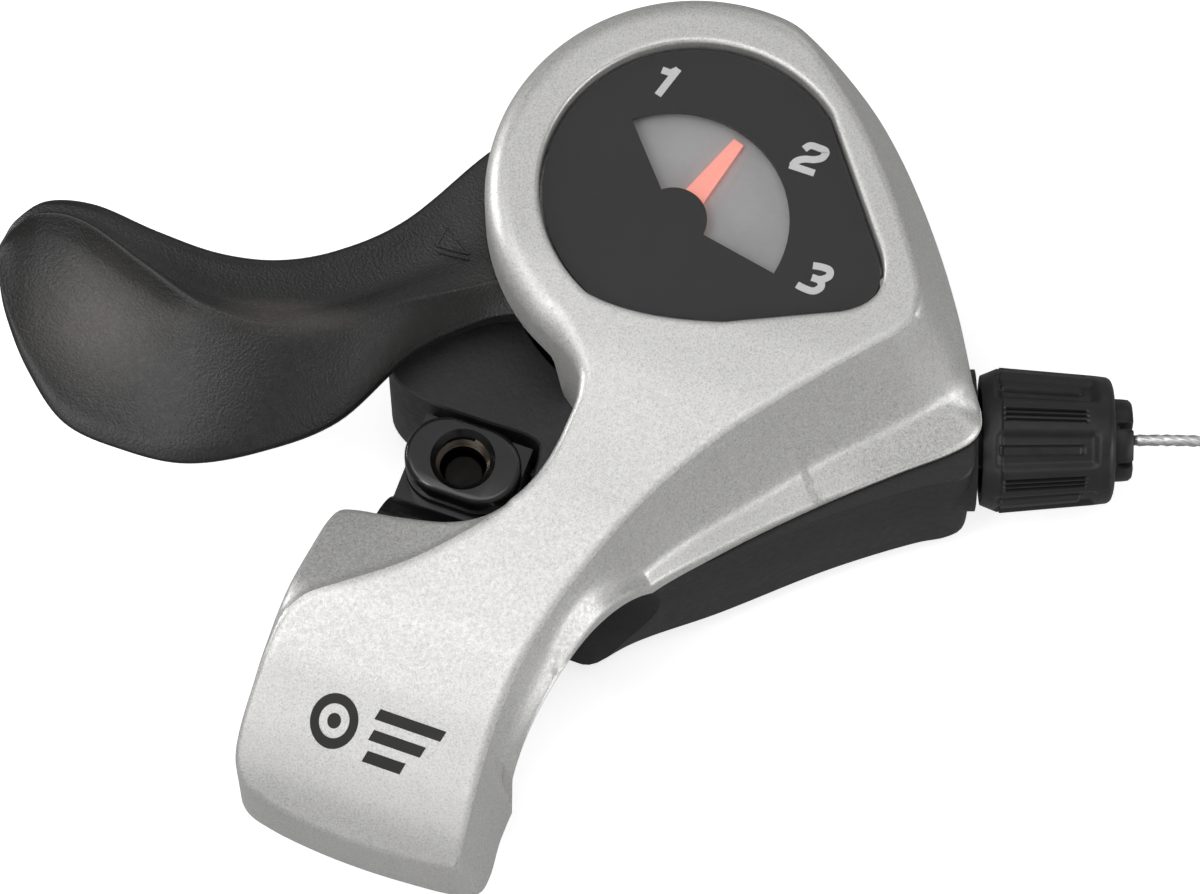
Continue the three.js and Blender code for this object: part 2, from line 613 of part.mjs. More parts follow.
function leverArm() {
  const rings = LEVER_STATIONS.map(([front, ridge, rear, underside]) => {
    const top = new THREE.Vector3(...front);
    const crown = new THREE.Vector3(...ridge);
    const low = new THREE.Vector3(...rear);
    const inward = crown.clone().sub(top).setZ(0).normalize();
    const down = new THREE.Vector3(0, 0, -LEVER_SKIN);
    return [
      top.clone().add(new THREE.Vector3(0, 0, -0.8)),
      top.clone().addScaledVector(inward, 0.8),
      crown,
      low,
      low.clone().setZ(underside),
      low.clone().setZ(underside).addScaledVector(inward, -2.4),
      crown.clone().add(down).addScaledVector(inward, 0.8),
      top.clone().add(down).addScaledVector(inward, 0.6),
    ];
  });
  return loft(rings, fanCap);
}

function thumbLever() {
  let hub = disc(HUB_RADIUS, HUB_BOTTOM, HUB_TOP, PIVOT, 56);
  hub = hub.add(leverArm().subtract(disc(HUB_RADIUS - 2, 0, 30, PIVOT, 56)));
  hub = hub.subtract(disc(5.6, HUB_BOTTOM - 1, HUB_TOP + 1, PIVOT));
  hub = hub.subtract(disc(7.6, 8.9, HUB_TOP + 1, PIVOT, 32));
  return hub.subtract(tubeRing(10.6, 16, HUB_BOTTOM - 1, 10.4, PIVOT, 40));
}

// ---- wire ----------------------------------------------------------------------------------

const ALONG = new THREE.Vector3(...polar(1, ADJUSTER_ANGLE).toArray(), 0);

function onAdjusterAxis(distance) {
  return ADJUSTER_FACE.clone().addScaledVector(ALONG, distance);
}

// The point where the straight wire leaves the drum.
function tangentPoint() {
  const place = PIVOT.clone().add(polar(WIRE_WRAP_RADIUS, ADJUSTER_ANGLE - 90));
  return new THREE.Vector3(place.x, place.y, WIRE_Z);
}

function heldWire() {
  const start = tangentPoint().addScaledVector(ALONG, GAP);
  const straight = new THREE.LineCurve3(start, onAdjusterAxis(ADJUSTER_TIP));
  add('inner_wire', 'steel', rod(straight, WIRE_RADIUS, 1, 10));

  const points = [];
  for (let angle = ADJUSTER_ANGLE - 90; angle >= NIPPLE_ANGLE + 8; angle -= 6) {
    const place = PIVOT.clone().add(polar(WIRE_WRAP_RADIUS, angle));
    points.push(new THREE.Vector3(place.x, place.y, WIRE_Z));
  }
  add('wound_wire', 'steel', rod(new THREE.CatmullRomCurve3(points), WIRE_RADIUS, 12, 8));

  add('cable_nipple', 'steel', disc(NIPPLE_RADIUS, WIRE_Z - 1.7, WIRE_Z + 1.7, NIPPLE_PLACE, 16));
}

// The lead between the adjuster and the coil's top turn: distance along, and its share of the drop.
const LEAD_POINTS = [[0.4, 0], [4, 0], [7.5, 0.06], [11, 0.28], [14.5, 0.62], [17, 0.84], [19.4, 0.95]];

function freeWire() {
  const exit = onAdjusterAxis(ADJUSTER_TIP);
  const drop = exit.z - (FLOOR_Z + TIE_THICKNESS + COIL_HEIGHT - WIRE_RADIUS);
  const points = LEAD_POINTS.map(([distance, share]) => {
    const point = exit.clone().addScaledVector(ALONG, distance);
    return point.setZ(exit.z - drop * share);
  });
  add('cable_lead', 'steel', rod(new THREE.CatmullRomCurve3(points), WIRE_RADIUS, 12, 8));

  const entry = exit.clone().addScaledVector(ALONG, LEAD_LENGTH);
  const coilCentre = new THREE.Vector2(entry.x, entry.y).add(polar(COIL_ENTRY_RADIUS, ADJUSTER_ANGLE - 90));
  const low = FLOOR_Z + TIE_THICKNESS;
  const high = low + COIL_HEIGHT;
  const [inner, outer] = [COIL_MEAN_RADIUS - COIL_HALF_WIDTH, COIL_MEAN_RADIUS + COIL_HALF_WIDTH];
  const round = 1.3;
  add('cable_coil', 'steel', turned([
    [inner + round, low], [outer - round, low], [outer, low + round], [outer, high - round],
    [outer - round, high], [inner + round, high], [inner, high - round], [inner, low + round],
  ], coilCentre, 40));
  coilTie(coilCentre, low, high);
  endCap(coilCentre);
}

// A strap bent round the coil's section on the side away from the shifter.
function coilTie(centre, low, high) {
  const inner = COIL_HALF_WIDTH + GAP;
  const outer = inner + TIE_THICKNESS;
  const middle = (low + high) / 2;
  const halfHeight = (high - low) / 2;
  const frame = (half, tall) => polygon([[-half, -tall], [half, -tall], [half, tall], [-half, tall]]);
  const loop = frame(outer, halfHeight + TIE_THICKNESS);
  loop.holes.push(frame(inner, halfHeight + GAP));
  const strap = new THREE.ExtrudeGeometry(loop, { depth: 3, bevelEnabled: false });
  strap.translate(0, 0, -1.5).rotateX(Math.PI / 2).translate(centre.x + COIL_MEAN_RADIUS, centre.y, middle);
  add('coil_tie', 'blackPlastic', toSolid(strap));
}

// The crimped cap on the wire's free end, lying inside the coil.
function endCap(centre) {
  const cap = new THREE.CylinderGeometry(0.95, 1.05, 9, 12);
  add('cable_end_cap', 'steel', toSolid(cap.rotateZ(10 * DEGREE)
    .translate(centre.x - 8.6, centre.y - 1, FLOOR_Z + 1.1)));
}

// ---- cable adjuster ------------------------------------------------------------------------

// Pieces are turned about +Z and then laid on the adjuster's axis by their group.
function adjuster() {
  const group = new THREE.Group();
  group.position.copy(ADJUSTER_FACE);
  group.rotation.set(0, Math.PI / 2, ADJUSTER_ANGLE * DEGREE, 'ZYX');
  model.add(group);
  const axis = new THREE.Vector2();

  let barrel = turned([
    [5.3, GAP], [6.3, GAP], [ADJUSTER_RADIUS, 2.2], [6.2, 11.2], [5.3, ADJUSTER_LENGTH],
    [3.4, ADJUSTER_LENGTH], [3.4, 8.5], [5.3, 8.5],
  ], axis, 36);
  for (let angle = 30; angle < 390; angle += 60) {
    const flute = disc(2.4, 1.2, 11.6, polar(8.6, angle), 14);
    barrel = barrel.subtract(flute);
  }
  add('adjuster_barrel', 'blackPlastic', barrel, group);

  let bolt = turned([
    [0.9, -8.5], [3, -8.5], [3, 13.5], [4.1, 13.5], [4.1, ADJUSTER_TIP], [CASING_SEAT_RADIUS, ADJUSTER_TIP],
    [CASING_SEAT_RADIUS, 9], [0.9, 9],
  ], axis, 24);
  for (let angle = 0; angle < 360; angle += 90) {
    const notch = new THREE.BoxGeometry(3, 1.3, 2).translate(4, 0, ADJUSTER_TIP + 0.2);
    bolt = bolt.subtract(toSolid(notch.rotateZ(angle * DEGREE)));
  }
  add('adjuster_bolt', 'blackPlastic', bolt, group);
  add('adjuster_spring', 'steel', coilSpring(4.35, 0.35, 0.6, 7.4, 4, axis), group);
  add('adjuster_washer', 'steel', tubeRing(3.4, 5, 7.7, 8.2, axis, 24), group);
}

// ---- assembly ------------------------------------------------------------------------------

add('top_cover', 'silver', topCover());
dialParts();
indicatorGears();
add('base_housing', 'blackPlastic', baseHousing());
COVER_SCREWS.forEach((screw, i) => add(`cover_screw_${i + 1}`, 'steel', coverScrew(screw)));
add('clamp_band', 'blackSteel', clampBand());
add('clamp_nut', 'blackSteel', clampNut());
add('clamp_bolt', 'steel', clampBolt());
add('bolt_washer', 'steel', tubeRing(CLAMP_BOLT_RADIUS + GAP, 4.6, -5.6, -4.8, CLAMP_CENTRE, 24));
pivotStack();
add('detent_plate', 'steel', detentPlate());
add('detent_ball', 'steel', detentBall());
add('detent_spring', 'steel', coilSpring(1.1, 0.2, -3.1, -0.9, 3, BALL_PLACE));
add('cable_drum', 'blackPlastic', cableDrum());
add('thumb_lever', 'blackPlastic', thumbLever());
heldWire();
adjuster();
freeWire();

export default model;
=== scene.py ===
import math

import bmesh
import bpy
import numpy as np
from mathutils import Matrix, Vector, geometry
from mathutils.bvhtree import BVHTree


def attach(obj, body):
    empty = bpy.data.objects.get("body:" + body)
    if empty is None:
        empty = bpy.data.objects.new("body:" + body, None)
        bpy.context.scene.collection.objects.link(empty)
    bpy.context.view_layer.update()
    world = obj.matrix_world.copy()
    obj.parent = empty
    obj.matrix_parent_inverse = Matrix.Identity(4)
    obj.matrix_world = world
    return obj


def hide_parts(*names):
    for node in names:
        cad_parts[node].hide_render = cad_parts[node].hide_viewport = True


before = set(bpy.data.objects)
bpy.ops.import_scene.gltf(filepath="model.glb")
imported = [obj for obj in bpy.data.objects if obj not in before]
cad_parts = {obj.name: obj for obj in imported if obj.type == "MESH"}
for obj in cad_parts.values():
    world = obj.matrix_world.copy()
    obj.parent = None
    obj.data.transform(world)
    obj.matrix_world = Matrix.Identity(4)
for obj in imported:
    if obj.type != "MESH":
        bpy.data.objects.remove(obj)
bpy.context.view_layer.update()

MM = 0.001

# Dimensions of the CAD model, in millimetres
PIVOT = (13.2, 45.8)
FLOOR_Z = -12.7
ADJUSTER_FACE = Vector((45.15, 38.68, -1.0))
ADJUSTER_ANGLE = math.radians(20)
ADJUSTER_TIP = 15.05
WIRE_DIAMETER = 1.2
LEAD_LENGTH = 26
COIL_ENTRY_RADIUS = 16.9
END_CAP_MOUTH = Vector((82.1, 31.5, -11.6))
END_CAP_AXIS = Vector((-0.17, 0.98, 0))
COIL_BOTTOM = FLOOR_Z + 0.6
COIL_HEIGHT = 5
ALONG = Vector((math.cos(ADJUSTER_ANGLE), math.sin(ADJUSTER_ANGLE), 0))
UP = Vector((0, 0, 1))
# Tolerances for cleaning a cut mesh, in metres
WELD_DISTANCE = 2e-6
SHORTEST_EDGE = 1e-6


# ---- helpers ------------------------------------------------------------------------------

def mesh_object(name, vertices, faces):
    """A smooth-shaded mesh object from points in millimetres."""
    mesh = bpy.data.meshes.new(name)
    mesh.from_pydata([tuple(c * MM for c in v) for v in vertices], [], faces)
    mesh.validate()
    mesh.update()
    for polygon in mesh.polygons:
        polygon.use_smooth = True
    obj = bpy.data.objects.new(name, mesh)
    bpy.context.collection.objects.link(obj)
    return obj


def ring_faces(rings, size, start=0, looped=False):
    """Quads between successive rings of points. The end rings are capped, or the last joins the first."""
    faces = []
    for row in range(rings if looped else rings - 1):
        near, far = start + row * size, start + (row + 1) % rings * size
        faces += [(near + k, near + (k + 1) % size, far + (k + 1) % size, far + k) for k in range(size)]
    if not looped:
        last = start + (rings - 1) * size
        faces += [tuple(range(start + size - 1, start - 1, -1)), tuple(range(last, last + size))]
    return faces


def face_outwards(obj, weld=False):
    """Turns a piece's faces outwards. Welding first joins corners that a cut left almost touching, and
    closes pinholes."""
    bm = bmesh.new()
    bm.from_mesh(obj.data)
    if weld:
        bmesh.ops.remove_doubles(bm, verts=bm.verts, dist=WELD_DISTANCE)
        bmesh.ops.dissolve_degenerate(bm, dist=SHORTEST_EDGE, edges=bm.edges)
        bmesh.ops.holes_fill(bm, edges=[e for e in bm.edges if e.is_boundary], sides=0)
    bmesh.ops.recalc_face_normals(bm, faces=bm.faces)
    bm.to_mesh(obj.data)
    bm.free()


def paint(obj, material):
    """Gives a piece one material."""
    obj.data.materials.clear()
    obj.data.materials.append(material)


def dress(obj, material, body, slot, crease, *replaced):
    """Creases a piece past an angle and paints it, hangs it under its body, and hides the CAD nodes it
    replaces. Its slot is not used.
    """
    for polygon in obj.data.polygons:
        polygon.use_smooth = True
    obj.data.set_sharp_from_angle(angle=math.radians(crease))
    paint(obj, material)
    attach(obj, body)
    if replaced:
        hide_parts(*replaced)
    return obj


def new_piece(name, vertices, faces, material, body, slot, *replaced, crease=40):
    obj = mesh_object(name, vertices, faces)
    face_outwards(obj)
    return dress(obj, material, body, slot, crease, *replaced)


def set_shader(material, **values):
    """Sets plain values on a material's shader; an underscore stands for a space."""
    for key, value in values.items():
        material.node_tree.nodes["Principled BSDF"].inputs[key.replace("_", " ")].default_value = value


def apply_modifiers(obj):
    """Swaps a piece's mesh for what its modifiers make of it."""
    depsgraph = bpy.context.evaluated_depsgraph_get()
    mesh = bpy.data.meshes.new_from_object(obj.evaluated_get(depsgraph))
    obj.modifiers.clear()
    obj.data = mesh


def polar(radius, degrees, centre=(0, 0)):
    a = math.radians(degrees)
    return centre[0] + radius * math.cos(a), centre[1] + radius * math.sin(a)


def catmull(a, b, c, d, t):
    """A point on the Catmull-Rom curve from b to c."""
    cubic = 3 * b - a - 3 * c + d
    return 0.5 * (2 * b + (c - a) * t + (2 * a - 5 * b + 4 * c - d) * t * t + cubic * t ** 3)


# ---- camera, floor and light --------------------------------------------------------------

VIEW_AZIMUTH = math.radians(20)
VIEW_ELEVATION = math.radians(69)
AIM = Vector((11.9, 22.35, 7.55))
DISTANCE = 600
SENSOR_WIDTH = 36
FOCAL_LENGTH = 187
BACK = Vector((math.sin(VIEW_AZIMUTH) * math.cos(VIEW_ELEVATION),
               -math.cos(VIEW_AZIMUTH) * math.cos(VIEW_ELEVATION), math.sin(VIEW_ELEVATION)))


def make_camera():
    data = bpy.data.cameras.new("camera")
    data.sensor_width = SENSOR_WIDTH
    data.lens = FOCAL_LENGTH
    data.clip_start, data.clip_end = 0.01, 20
    camera = bpy.data.objects.new("camera", data)
    bpy.context.collection.objects.link(camera)
    camera.location = (AIM + BACK * DISTANCE) * MM
    camera.rotation_mode = "QUATERNION"
    camera.rotation_quaternion = (-BACK).to_track_quat("-Z", "Y")
    bpy.context.scene.camera = camera


# Name, place, aim, size and power
LIGHTS = (
    ("key", (-330, -10, 900), (-320, 0, 0), (1300, 1560), 2.4),
    ("strip", (-130, -50, 900), (-110, -50, 0), (420, 900), 1.7),
    ("front", (-150, -760, 430), (0, -10, 0), (900, 620), 2.0),
    ("dish", (-260, -330, 720), (-20, 10, 10), (200, 200), 0.7),
    ("right", (620, -10, 170), (30, 30, 0), (460, 260), 1.25),
    ("rim_left", (-520, 60, 160), (0, 20, 0), (160, 260), 0.9),
    ("rim_rear", (60, 620, 320), (10, 20, 0), (420, 160), 0.25),
)
FLOOR_HALF_WIDTH = 1500
FLOOR_GLOW = 0.62
WORLD_LIGHT = 0.17


def area_light(name, place, aim, size, power):
    data = bpy.data.lights.new(name, "AREA")
    data.shape = "RECTANGLE"
    data.size, data.size_y = size[0] * MM, size[1] * MM
    data.energy = power
    light = bpy.data.objects.new(name, data)
    bpy.context.collection.objects.link(light)
    light.location = Vector(place) * MM
    light.rotation_mode = "QUATERNION"
    light.rotation_quaternion = (Vector(aim) - Vector(place)).to_track_quat("-Z", "Y")


def make_stage():
    half = FLOOR_HALF_WIDTH
    corners = [(-half, -half), (half, -half), (half, half), (-half, half)]
    floor = mesh_object("floor", [(x, y, FLOOR_Z) for x, y in corners], [(0, 1, 2, 3)])
    material = bpy.data.materials.new("floor")
    material.use_nodes = True
    set_shader(material, Base_Color=(0.95, 0.95, 0.95, 1), Roughness=0.9, Specular_IOR_Level=0.1,
               Emission_Color=(1, 1, 1, 1), Emission_Strength=FLOOR_GLOW)
    paint(floor, material)
    floor.visible_glossy = False
    world = bpy.data.worlds.new("studio")
    bpy.context.scene.world = world
    world.use_nodes = True
    background = world.node_tree.nodes["Background"].inputs
    background["Color"].default_value = (1, 1, 1, 1)
    background["Strength"].default_value = WORLD_LIGHT
    for light in LIGHTS:
        area_light(*light)
    bpy.context.scene.view_settings.view_transform = "Standard"


make_camera()
make_stage()

# ---- wire ---------------------------------------------------------------------------------


def on_axis(distance):
    return ADJUSTER_FACE + ALONG * distance


def smooth_path(points, step):
    """A Catmull-Rom curve through points, resampled at even steps."""
    dense = []
    padded = [points[0] * 2 - points[1]] + points + [points[-1] * 2 - points[-2]]
    for corners in zip(padded, padded[1:], padded[2:], padded[3:]):
        dense += [catmull(*corners, k / 16) for k in range(16)]
    return resample(dense + [points[-1]], step)


def resample(points, step):
    total = sum((b - a).length for a, b in zip(points, points[1:]))
    count = max(2, round(total / step))
    out, walked, target, i = [points[0]], 0.0, total / count, 1
    for a, b in zip(points, points[1:]):
        length = (b - a).length
        while length > 0 and i < count and walked + length >= target * i - 1e-9:
            out.append(a.lerp(b, (target * i - walked) / length))
            i += 1
        walked += length
    return out + [points[-1]]


COLUMNS, ROWS = 5, 4
COLUMN_PITCH = 1.25
ROW_PITCH = 1.266
COIL_START = 110
TURN_STEPS = 36
SHIFT_STEPS = 7
COIL_STEPS = 18 * TURN_STEPS + 8
# How far along the lead, and what share of its drop to the coil it has made there
LEAD_DROP = [(0, 0), (0.4, 0), (4, 0), (7.5, 0.06), (11, 0.28), (14.5, 0.62), (17, 0.84), (19.4, 0.95),
             (22.5, 1)]
# After the last turn: steps on, radius and height
COIL_TAIL = ((4, 11.0, -11.5), (8, 9.9, -12.05), (12, 9.4, -12.1))
STRANDS = 6
STRAND_DEPTH = 0.09
LAY_LENGTH = 7.5


def wire_path():
    """The free wire: out of the adjuster, down to the coil's top, round its turns and into its end cap."""
    exit_point = on_axis(ADJUSTER_TIP)
    drop = exit_point.z - (COIL_BOTTOM + COIL_HEIGHT - WIRE_DIAMETER / 2)
    lead = [exit_point + ALONG * s - Vector((0, 0, drop * k)) for s, k in LEAD_DROP]
    entry = exit_point + ALONG * LEAD_LENGTH
    centre = polar(COIL_ENTRY_RADIUS, COIL_START - 180, entry.xy)
    turns = []
    for column in range(COLUMNS):
        order = range(ROWS) if column % 2 else range(ROWS - 1, -1, -1)
        radius = COIL_ENTRY_RADIUS - column * COLUMN_PITCH
        turns += [(radius, COIL_BOTTOM + WIRE_DIAMETER / 2 + row * ROW_PITCH) for row in order]

    def on_coil(step, radius, z):
        return Vector((*polar(radius, COIL_START - step * 360 / TURN_STEPS, centre), z))

    coil = []
    for i in range(COIL_STEPS):
        turn, k = divmod(i, TURN_STEPS)
        radius, z = turns[turn]
        if k > TURN_STEPS - SHIFT_STEPS and turn + 1 < len(turns):
            t = (k - TURN_STEPS + SHIFT_STEPS) / SHIFT_STEPS
            t = t * t * (3 - 2 * t)
            radius += (turns[turn + 1][0] - radius) * t
            z += (turns[turn + 1][1] - z) * t
        coil.append(on_coil(i, radius, z))
    tail = [on_coil(COIL_STEPS + k, r, z) for k, r, z in COIL_TAIL]
    tail += [END_CAP_MOUTH - END_CAP_AXIS * 1.2, END_CAP_MOUTH, END_CAP_MOUTH + END_CAP_AXIS * 0.8]
    return smooth_path(lead + coil + tail, 0.9)


def stranded_tube(name, path, radius, sides):
    """A tube along a path, grooved between its twisted strands."""
    normal = UP
    vertices, walked = [], 0.0
    for i, point in enumerate(path):
        tangent = (path[min(i + 1, len(path) - 1)] - path[max(i - 1, 0)]).normalized()
        normal = (normal - tangent * normal.dot(tangent)).normalized()
        side = tangent.cross(normal)
        walked += (point - path[i - 1]).length if i else 0
        twist = 2 * math.pi * walked / LAY_LENGTH
        for k in range(sides):
            a = 2 * math.pi * k / sides
            r = radius - STRAND_DEPTH * (0.5 - 0.5 * math.cos(a * STRANDS))
            vertices.append(point + (normal * math.cos(a + twist) + side * math.sin(a + twist)) * r)
    return mesh_object(name, vertices, ring_faces(len(path), sides))


cord_path = wire_path()
wire = stranded_tube("inner_cable", cord_path, WIRE_DIAMETER / 2, 18)
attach(wire, "housing")
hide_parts("cable_lead", "cable_coil")

# ---- materials ----------------------------------------------------------------------------


class Nodes:
    """Short calls for building one material, whose textures lie in the object's own coordinates."""

    def __init__(self, name):
        self.material = bpy.data.materials.new(name)
        self.material.use_nodes = True
        self.tree = self.material.node_tree
        self.shader = self.tree.nodes["Principled BSDF"]
        self.place = self.tree.nodes.new("ShaderNodeTexCoord").outputs["Object"]

    def node(self, kind, sockets, output, **settings):
        """A new node's output. Sockets are given a number, or another node's output to link in."""
        node = self.tree.nodes.new("ShaderNode" + kind)
        for key, value in settings.items():
            setattr(node, key, value)
        for key, value in sockets.items():
            if isinstance(value, bpy.types.NodeSocket):
                self.tree.links.new(value, node.inputs[key])
            else:
                node.inputs[key].default_value = value
        return node.outputs[output]

    def noise(self, scale, detail=2.0, roughness=0.5):
        sockets = {"Scale": scale, "Detail": detail, "Roughness": roughness, "Vector": self.place}
        return self.node("TexNoise", sockets, "Fac")

    def cells(self, scale, feature="F1", output="Distance"):
        return self.node("TexVoronoi", {"Scale": scale, "Vector": self.place}, output, feature=feature)

    def patch(self, centre, half, turn):
        """One at a centre in millimetres, falling to nothing at the half lengths, turned about Z."""
        sockets = {"Location": [c * MM for c in centre], "Rotation": (0, 0, math.radians(turn)),
                   "Scale": [h * MM for h in half], "Vector": self.place}
        place = self.node("Mapping", sockets, "Vector", vector_type="TEXTURE")
        return self.node("TexGradient", {"Vector": place}, "Fac", gradient_type="SPHERICAL")

    def ranged(self, value, low, high, start=0.0, end=1.0):
        """Maps start..end of a value to low..high."""
        sockets = {"From Min": start, "From Max": end, "To Min": low, "To Max": high, "Value": value}
        return self.node("MapRange", sockets, "Result")

    def add(self, a, b):
        return self.node("Math", {0: a, 1: b}, 0, operation="ADD")

    def colours(self, value, stops):
        """Colours the surface by a value; stops are pairs of value and colour."""
        node = self.tree.nodes.new("ShaderNodeValToRGB")
        elements = node.color_ramp.elements
        while len(elements) < len(stops):
            elements.new(0.5)
        for element, (at, colour) in zip(elements, stops):
            element.position = at
            element.color = (*colour, 1)
        self.tree.links.new(value, node.inputs["Fac"])
        self.tree.links.new(node.outputs["Color"], self.shader.inputs["Base Color"])

    def bump(self, height, strength, distance_mm):
        """Adds a bump on top of any that the surface has."""
        sockets = {"Strength": strength, "Distance": distance_mm * MM, "Height": height}
        previous = self.shader.inputs["Normal"].links
        if previous:
            sockets["Normal"] = previous[0].from_socket
        self.tree.links.new(self.node("Bump", sockets, "Normal"), self.shader.inputs["Normal"])

    def rough(self, value, low, high, start=0.3, end=0.7):
        self.tree.links.new(self.ranged(value, low, high, start, end), self.shader.inputs["Roughness"])


def shade(colour, factor):
    return tuple(min(1, c * factor) for c in colour)


def silver_lacquer():
    """Metallic lacquer: fine bright and dark flakes under a satin clear coat."""
    n = Nodes("silver_lacquer")
    flakes = n.cells(9000, output="Color")
    grain = n.noise(5200, 3, 0.7)
    base = (0.7, 0.695, 0.68)
    cloud = n.add(n.ranged(grain, 0.1, 0.9), n.ranged(n.noise(60), -0.06, 0.06))
    n.colours(n.add(n.ranged(flakes, -0.12, 0.12), cloud),
              [(0.3, shade(base, 0.72)), (0.5, base), (0.72, shade(base, 1.16))])
    n.rough(n.noise(2600, 2), 0.38, 0.54)
    n.bump(n.noise(4200, 2, 0.6), 0.35, 0.02)
    n.bump(n.cells(9000), 0.2, 0.012)
    set_shader(n.material, Metallic=0.7, Coat_Weight=0.2, Coat_Roughness=0.3)
    return n.material


def moulded_plastic(name, colour, roughness, grain, depth, worn=1.25, sheen=0.0, highlight_patches=()):
    """Moulded plastic: leather-like grain of the given scale, with slightly lighter, smoother high spots.
    Patches, each a centre, half lengths and turn, are painted highlight: there the colour climbs to a lighter
    warm grey."""
    n = Nodes(name)
    cells = n.cells(grain, "SMOOTH_F1")
    fine = n.noise(grain * 1.9, 3, 0.6)
    mix = n.add(n.ranged(cells, 0.0, 0.6), n.ranged(fine, 0.0, 0.4))
    value = n.add(n.ranged(mix, 0.0, 0.3), n.ranged(n.noise(90, 4), 0.0, 0.3))
    stops = [(0.15, shade(colour, 0.8)), (0.3, colour), (0.48, shade(colour, worn))]
    for patch in highlight_patches:
        value = n.add(value, n.ranged(n.patch(*patch), 0.0, 0.5, 0.0, 0.8))
    # Painted highlight: the patches lift the colour to a warm grey, standing in for the reflection on the
    # thumb's dish and the arm's ridge.
    if highlight_patches:
        stops += [(0.75, (0.055, 0.05, 0.046)), (1.0, (0.11, 0.095, 0.085))]
    n.colours(value, stops)
    n.rough(n.noise(grain * 0.4, 3), roughness - 0.06, roughness + 0.08)
    n.bump(mix, 0.9, depth)
    n.bump(n.noise(240, 2), 0.15, 0.05)
    set_shader(n.material, Sheen_Weight=sheen, Sheen_Roughness=0.5)
    return n.material


def gloss_enamel(name, colour, roughness):
    """Glossy black enamel with faint orange peel and dust."""
    n = Nodes(name)
    n.colours(n.noise(700, 4, 0.7), [(0.35, shade(colour, 0.8)), (0.6, colour), (0.78, shade(colour, 1.8))])
    n.rough(n.noise(300, 3), roughness - 0.05, roughness + 0.1)
    n.bump(n.noise(420, 2), 0.18, 0.05)
    set_shader(n.material, Coat_Weight=0.5, Coat_Roughness=0.08)
    return n.material


def turned_metal(name, colour, roughness, scale=900):
    """Machined metal with fine tool marks."""
    n = Nodes(name)
    marks = n.noise(scale, 4, 0.6)
    n.colours(n.add(n.ranged(marks, 0, 0.6), n.ranged(n.noise(150, 3), 0, 0.4)),
              [(0.3, shade(colour, 0.78)), (0.5, colour), (0.75, shade(colour, 1.15))])
    n.rough(n.noise(scale * 0.7, 3), roughness - 0.08, roughness + 0.1)
    n.bump(marks, 0.3, 0.01)
    set_shader(n.material, Metallic=1.0)
    return n.material


def smooth_print(name, colour, roughness, low=0.93, high=1.06):
    """Smooth printed or moulded trim under the window."""
    n = Nodes(name)
    n.colours(n.add(n.ranged(n.noise(130, 3), 0, 0.6), n.ranged(n.noise(2500, 2), 0, 0.4)),
              [(0.3, shade(colour, low)), (0.5, colour), (0.7, shade(colour, high))])
    n.rough(n.noise(500, 2), roughness - 0.04, roughness + 0.05)
    n.bump(n.noise(900, 2), 0.06, 0.01)
    return n.material


def clear_plastic():
    n = Nodes("clear_window")
    n.colours(n.noise(60, 2), [(0.3, (0.03, 0.03, 0.032)), (0.7, (0.045, 0.045, 0.045))])
    n.rough(n.noise(200, 3), 0.12, 0.2, 0.35)
    n.bump(n.noise(90, 2), 0.04, 0.03)
    set_shader(n.material, Alpha=0.08)
    return n.material


def repaint(material, *names):
    """Gives CAD nodes that stay a better material."""
    for name in names:
        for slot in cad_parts[name].material_slots:
            slot.material = material


SILVER = silver_lacquer()
BASE_PLASTIC = moulded_plastic("base_plastic", (0.017, 0.017, 0.018), 0.48, 2600, 0.03)
# Painted highlight on the lever: a round patch over the thumb's dish and a long one along the arm's ridge, each
# a centre, half lengths and turn.
DISH_AND_RIDGE_HIGHLIGHTS = [((-37, 14.5, 17), (12, 11, 12), 20), ((-19, 21.8, 16.8), (14, 3.2, 8), 22)]
LEVER_PLASTIC = moulded_plastic("lever_plastic", (0.012, 0.0115, 0.011), 0.36, 4200, 0.08, worn=1.35,
                                highlight_patches=DISH_AND_RIDGE_HIGHLIGHTS)
set_shader(LEVER_PLASTIC, Specular_IOR_Level=0.65)
HUB_PLASTIC = moulded_plastic("hub_plastic", (0.012, 0.012, 0.0125), 0.4, 2800, 0.02)
GRIP_PLASTIC = moulded_plastic("adjuster_plastic", (0.011, 0.011, 0.0115), 0.46, 1500, 0.02, sheen=0.05)
ENAMEL = gloss_enamel("black_enamel", (0.012, 0.012, 0.013), 0.16)
STEEL = turned_metal("machined_steel", (0.56, 0.56, 0.57), 0.32)
BRASS = turned_metal("brass", (0.66, 0.5, 0.22), 0.3)
NYLON = moulded_plastic("nylon", (0.7, 0.68, 0.62), 0.5, 1200, 0.01, worn=1.05)
DIAL_BLACK = smooth_print("dial_black", (0.033, 0.033, 0.034), 0.45, 0.97, 1.03)
DIAL_GREY = smooth_print("dial_grey", (0.58, 0.58, 0.59), 0.5)
DIAL_PRINT = smooth_print("dial_print", (0.9, 0.9, 0.9), 0.45)
NEEDLE_RED = smooth_print("needle_red", (1.0, 0.42, 0.34), 0.45)
# Painted light: the needle glows faintly red, so that it looks lit though little lamp light reaches it under
# the window.
set_shader(NEEDLE_RED, Emission_Color=(1.0, 0.33, 0.27, 1), Emission_Strength=0.5)
MARK_PRINT = smooth_print("mark_print", (0.012, 0.011, 0.01), 0.55)
WINDOW = clear_plastic()
THREAD = turned_metal("oiled_thread", (0.09, 0.075, 0.06), 0.3)
BLACKED = turned_metal("blackened_bolt", (0.02, 0.019, 0.018), 0.5)
WIRE = turned_metal("stranded_wire", (0.9, 0.9, 0.91), 0.42, scale=1600)

# ---- shells from height fields ------------------------------------------------------------


